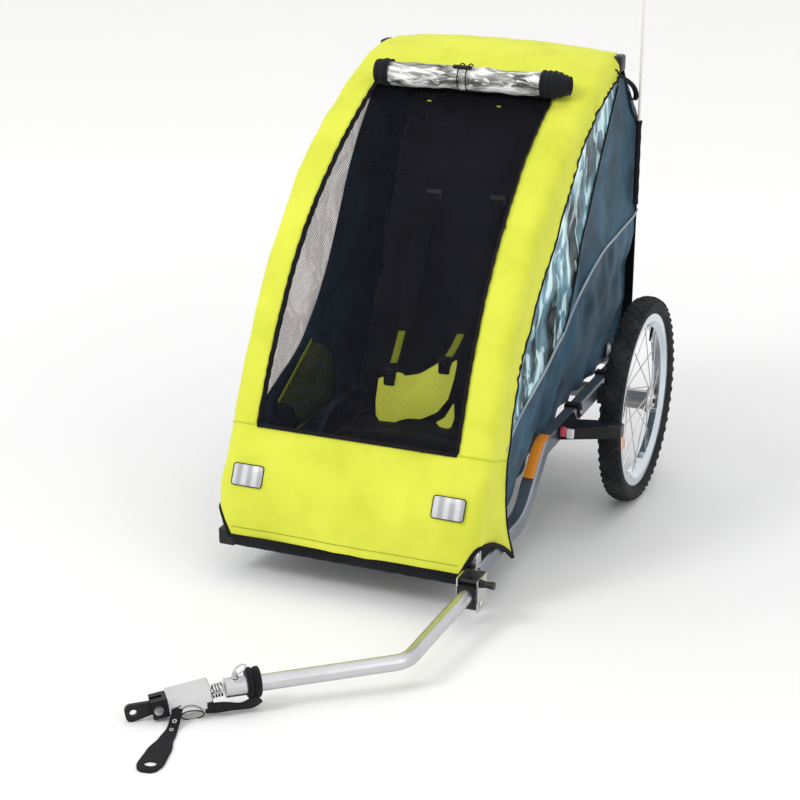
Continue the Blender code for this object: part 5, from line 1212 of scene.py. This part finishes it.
def rail_extras(name, side):
    """The reflecting film on the rail's drop, the strap clips over the rail and the block of two lenses."""
    line = curve(in_side_view(RAIL_FILM, side * 0.222), 4)
    lifted = [p + (n if n.z > 0 else -n) * 0.0008 for p, n in zip(line, line_normals(line))]
    strip = Form().tube(lifted, outline(0.0100, 0.0004, 0.0003, 2), ALONG_X)
    strip.dress("rail_film_" + name, AMBER, "frame", slot="clear_film")
    for k, y in enumerate((-0.136, 0.060)):
        loop = Form().tube(curve([(side * x, y, z) for x, z in RAIL_LOOP], 4),
                           outline(0.0095, 0.0010, 0.0009, 2), ALONG_Y)
        loop.dress(f"rail_loop_{name}_{k}", BLACK_WEB, "frame")
        rivet = Form().tube([(side * x, y, 0.210) for x in (0.2375, 0.2392, 0.2396)], ring(0.0036, 14),
                            ALONG_Y, size=lambda t: 1.0 - 0.4 * t * t)
        rivet.dress(f"loop_rivet_{name}_{k}", STEEL, "frame")
    red = Form().slab((side * 0.2460, -0.2665, 0.2190), (0.0052, 0.0042, 0.0085), 0.002, 0.001)
    red.dress("guard_red_lens_" + name, RED, "frame")
    white = Form().slab((side * 0.2590, -0.2665, 0.2170), (0.0068, 0.0042, 0.0085), 0.002, 0.001)
    white.dress("guard_white_lens_" + name, WHITE_LENS, "frame")


def corner_plate(name, side):
    """The bright plate that stands on the front corner, with its bolt."""
    x = side * 0.2235
    plate = Form().slab((x, -0.6880, 0.1440), (0.0115, 0.0012, 0.0185), 0.001, 0.0006)
    plate.slab((x, -0.6790, 0.1268), (0.0115, 0.0100, 0.0010), 0.001, 0.0005)
    plate.tube([(x, y, 0.148) for y in (-0.6890, -0.6925, -0.6935)], ring(0.0052, 6), ALONG_X,
               size=lambda t: 1.0 - 0.25 * t * t)
    plate.dress("corner_plate_" + name, STEEL, "frame", angle=30)


POLE_FOOT = at(0.2425, 0.168, 0.0)


def flag_pieces():
    """The pole's cloth sleeve and the rippled pennant."""
    spot = POLE_FOOT
    made = []
    for k in range(34):
        z = 0.540 + 0.165 * k / 33
        grow = 1 + 0.06 * math.sin(z * 190) + (0.12 if z > 0.697 else 0.0)
        made.append([spot + at(a * grow, b * grow, z) for a, b in ring(0.0056, 14)])
    made += [[spot + at(a, b, z) for a, b in ring(0.0037, 14)] for z in (0.705, 0.540)]
    Form().rings(made, closed=True).dress("pole_sleeve", BLACK, "rear_cage", "flag_pocket")
    rows = []
    for i in range(31):
        t = i / 30
        half = 0.089 * (1 - t) + 0.001
        sway = 0.012 * t * math.sin(7.5 * t + 0.6)
        rows.append([at(spot.x + sway, 0.1718 + 0.236 * t, 1.200 - 0.006 * t * t + half * (k / 10 - 1))
                     for k in range(21)])
    sheet("pennant_sheet", rows, PENNANT_CLOTH, 0.0006, (1, 0, 0), creased(0, 0, (0.05, 0.002)), "flag",
          ["pennant"], (0.18, 0.24), "hung", "flag_pole")
    hem = [spot + at(0, 0, z) for z in (1.1105, 1.113, 1.200, 1.287, 1.2895)]
    sleeve = Form().tube(hem, ring(0.0041, 12), ALONG_X, size=lambda t: 0.93 if t in (0, 1) else 1.0)
    sleeve.dress("pennant_hem", PENNANT_CLOTH, "flag")


HEADING = at(-0.770, -0.638, 0).normalized()
ACROSS = at(-HEADING.y, HEADING.x, 0)
ARM_END = at(0.2335, -0.985, 0.1050) + HEADING * 0.266


def by_arm(ahead, across=0.0, up=0.0, base=ARM_END):
    """A place by its steps along the arm's end, across it and up."""
    return base + HEADING * ahead + ACROSS * across + at(0, 0, up)


def hitch_webbing():
    """Webbing wound round the arm's end and run under the coupling, and the spring between arm and head."""
    start, length = by_arm(-0.037), 0.020
    made = []
    for k in range(13):
        t = k / 12
        bump = 1 + 0.07 * math.sin(t * 19) + 0.04 * math.sin(t * 43)
        made.append([by_arm(length * t, a * bump, b * bump + 0.003, start) for a, b in ring(0.0214, 24)])
    made += [[by_arm(length * t, a, b, start) for a, b in ring(0.0133, 24)] for t in (1, 0)]
    form = Form().rings(made, closed=True)
    for shift in (0.004, 0.0155):
        loop = [by_arm(shift, a, b + 0.003, start) for a, b in ring(0.0226, 30)]
        form.tube(loop, outline(0.0030, 0.0008, 0.0007, 2), HEADING, closed=True)
    form.dress("wound_webbing", BLACK_WEB, "tow_arm", "strap_cuff")
    path = curve([by_arm(-0.034, 0.013, -0.0180), by_arm(-0.020, 0.012, -0.0250),
                  by_arm(-0.004, 0.011, -0.0275), by_arm(0.018, 0.012, -0.0245),
                  by_arm(0.046, 0.012, -0.0225)], 6)
    under = Form().tube(path, outline(0.0125, 0.0020, 0.0018, 3), ALONG_Z + ACROSS * 0.6,
                        size=lambda t: 1 + 0.18 * math.sin(9 * t))
    bend_between(under.piece("under_strap", BLACK_WEB), "tow_arm", "hitch_head", ARM_END, by_arm(0.020))
    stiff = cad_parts["hitch_spring"]
    spring = link("bending_spring", stiff.data.copy())
    spring.data.transform(stiff.matrix_world)
    spring.data.materials.clear()
    spring.data.materials.append(STEEL.material)
    bend_between(spring, "tow_arm", "hitch_head", ARM_END, by_arm(0.020), "hitch_spring")


STRAP_START = by_arm(0.0900, 0.0185, -0.0115)
STRAP_AHEAD = at(0.210, -0.960, 0).normalized()
STRAP_ACROSS = at(STRAP_AHEAD.y, -STRAP_AHEAD.x, 0)
STRAP_STEPS = 40
STRAP_SHAPE = ((0.0, 0.016), (0.15, 0.017), (0.35, 0.023), (0.60, 0.036), (0.85, 0.039), (1.0, 0.028))


def strap_width(share):
    width = next(a[1] + (b[1] - a[1]) * ease(a[0], b[0], share)
                 for a, b in zip(STRAP_SHAPE, STRAP_SHAPE[1:]) if share <= b[0])
    return width * (1 - 0.45 * ease(0.965, 1.0, share))


def safety_strap():
    """Webbing from the hitch block to the ground, with its widened end, its eyelets and a small ring."""
    tip_back = BODY.inverted()
    length, low = 0.157, 0.0016
    path = []
    for i in range(STRAP_STEPS + 1):
        share = i / STRAP_STEPS
        spot = BODY @ (STRAP_START + STRAP_AHEAD * length * share)
        spot.z = low + (spot.z - low) * max(0.0, 1 - share / 0.25) ** 2
        path.append(tip_back @ spot)
    ways = [neighbours(path, i).normalized() for i in range(len(path))]
    ups = [STRAP_ACROSS.cross(ahead).normalized() for ahead in ways]
    made = []
    for i, (spot, up) in enumerate(zip(path, ups)):
        edge = outline(strap_width(i / STRAP_STEPS) / 2, 0.0009, 0.0008, 2)
        made.append([spot + STRAP_ACROSS * a + up * b for a, b in edge])
    obj = Form().rings(made).piece("safety_webbing", BLACK_WEB)
    hole = path[round(0.84 * STRAP_STEPS)]
    punch = [hole + STRAP_ACROSS * a * 1.25 + STRAP_AHEAD * b for a, b in ring(0.0074, 20)]
    cut_out(obj, [cutter(*([p + at(0, 0, h) for p in punch] for h in (-0.01, 0.01)))])
    dress(obj, "hitch_head", "safety_strap")
    declare(obj, (0.039, 0.170), "laid", "hitch_block")
    for k, share in enumerate((0.10, 0.19)):
        i = round(share * STRAP_STEPS)
        up = -ups[i] if ups[i].z < 0 else ups[i]
        eye = Form().tube([path[i] + STRAP_ACROSS * a + ways[i] * b + up * 0.0013
                           for a, b in ring(0.0026, 20)], ring(0.0009, 6), up, closed=True)
        eye.dress(f"strap_eyelet_{k}", STEEL, "hitch_head")
    loop = [by_arm(0.017 * a - 0.022, 0.0, 0.010 * b - 0.014, STRAP_START) + STRAP_AHEAD * (0.001 + 0.006 * b)
            for a, b in ring(1.0, 26)]
    Form().tube(loop, ring(0.0011, 6), ALONG_Z, closed=True).dress("strap_ring", PLASTIC, "hitch_head")


def both(*names):
    return [f"{name}_{side}" for name in names for side in SIDES]


# The solids that stay as they are, by their finish
NODE_LOOKS = {
    RAIL: both("rail"),
    TUBE: ["front_crossbar", "rear_crossbar", "axle_beam", "front_hoop", "rear_hoop", "tow_arm_tube",
           "arm_sleeve"],
    BLOCK: ["hitch_block"],
    STEEL: both("front_pivot_bracket", "rear_pivot_bracket", "axle", "hub")
    + ["arm_bracket", "arm_hinge_bolt", "ring_pin", "clevis_pin"],
    CHROME: both("rim"),
    PLASTIC: both("front_corner", "rear_plug", "axle_receiver", "wheel_guard", "axle_button")
    + ["lock_pin", "arm_collar", "hitch_clevis", "axle_plate"],
    POLE: ["flag_pole"],
}


def finish_nodes():
    for look, names in NODE_LOOKS.items():
        for name in names:
            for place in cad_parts[name].material_slots:
                place.link = "OBJECT"
                place.material = look.material


def studio():
    """Floor, light and the camera at the photograph's angle."""
    camera = link("camera", bpy.data.cameras.new("camera"))
    camera.data.lens = LENS
    camera.data.sensor_width = 36
    camera.data.clip_end = 60
    turn = Matrix([EYE_RIGHT, EYE_UP, -Vector(EYE_AHEAD)]).transposed()
    camera.matrix_world = Matrix.Translation(EYE) @ turn.to_4x4()
    bpy.context.scene.camera = camera
    floor, reach = bpy.data.meshes.new("floor"), 30
    corners = [(a * reach, b * reach, 0) for a, b in ((-1, -1), (1, -1), (1, 1), (-1, 1))]
    floor.from_pydata(corners, [], [(0, 1, 2, 3)])
    ground = made_object("studio_floor", floor, floor_paper())
    ground.location.z = -0.0002
    world = bpy.data.worlds.new("studio")
    bpy.context.scene.world = world
    world.use_nodes = True
    world.node_tree.nodes.clear()
    sky = Nodes(world.node_tree)
    seen, mirrored, through = [sky.node("ShaderNodeLightPath", out=kind)
                               for kind in ("Is Camera Ray", "Is Glossy Ray", "Is Transmission Ray")]
    share = seen.math("MAXIMUM", mirrored).math("MAXIMUM", through)
    soft, white = [sky.node("ShaderNodeBackground", (), {"Color": (1, 1, 1, 1), "Strength": strength})
                   for strength in (0.80, 1.0)]
    sky.node("ShaderNodeOutputWorld", (), {
        0: sky.node("ShaderNodeMixShader", (), {0: share, 1: soft, 2: white})})
    for name, place, watts, width in (("key_light", (-2.2, -3.4, 3.6), 74, 1.6),
                                      ("fill_light", (3.4, -1.6, 2.4), 14, 2.4),
                                      ("top_light", (0.3, 0.6, 4.2), 16, 2.6)):
        lamp = link(name, bpy.data.lights.new(name, "AREA"))
        lamp.data.energy = watts
        lamp.data.shape = "DISK"
        lamp.data.size = width
        aim = (MIDDLE_OF_VIEW - Vector(place)).to_track_quat("-Z", "Y")
        lamp.matrix_world = Matrix.Translation(place) @ aim.to_matrix().to_4x4()
    bpy.context.scene.view_settings.view_transform = "Standard"


def build():
    for step in (studio, finish_nodes, front_cover, cover_trims, window_mesh, reflector_patches, corner_caps,
                 rain_roll, rear_sheet, floor_sheet, hem_cloth, seat_pieces, harness, storage_net):
        step()
    for name, side in SIDES.items():
        for step in (side_pieces, tyre, wheel_details, rail_extras, corner_plate):
            step(name, side)
    for step in (flag_pieces, hitch_webbing, safety_strap):
        step()


build()
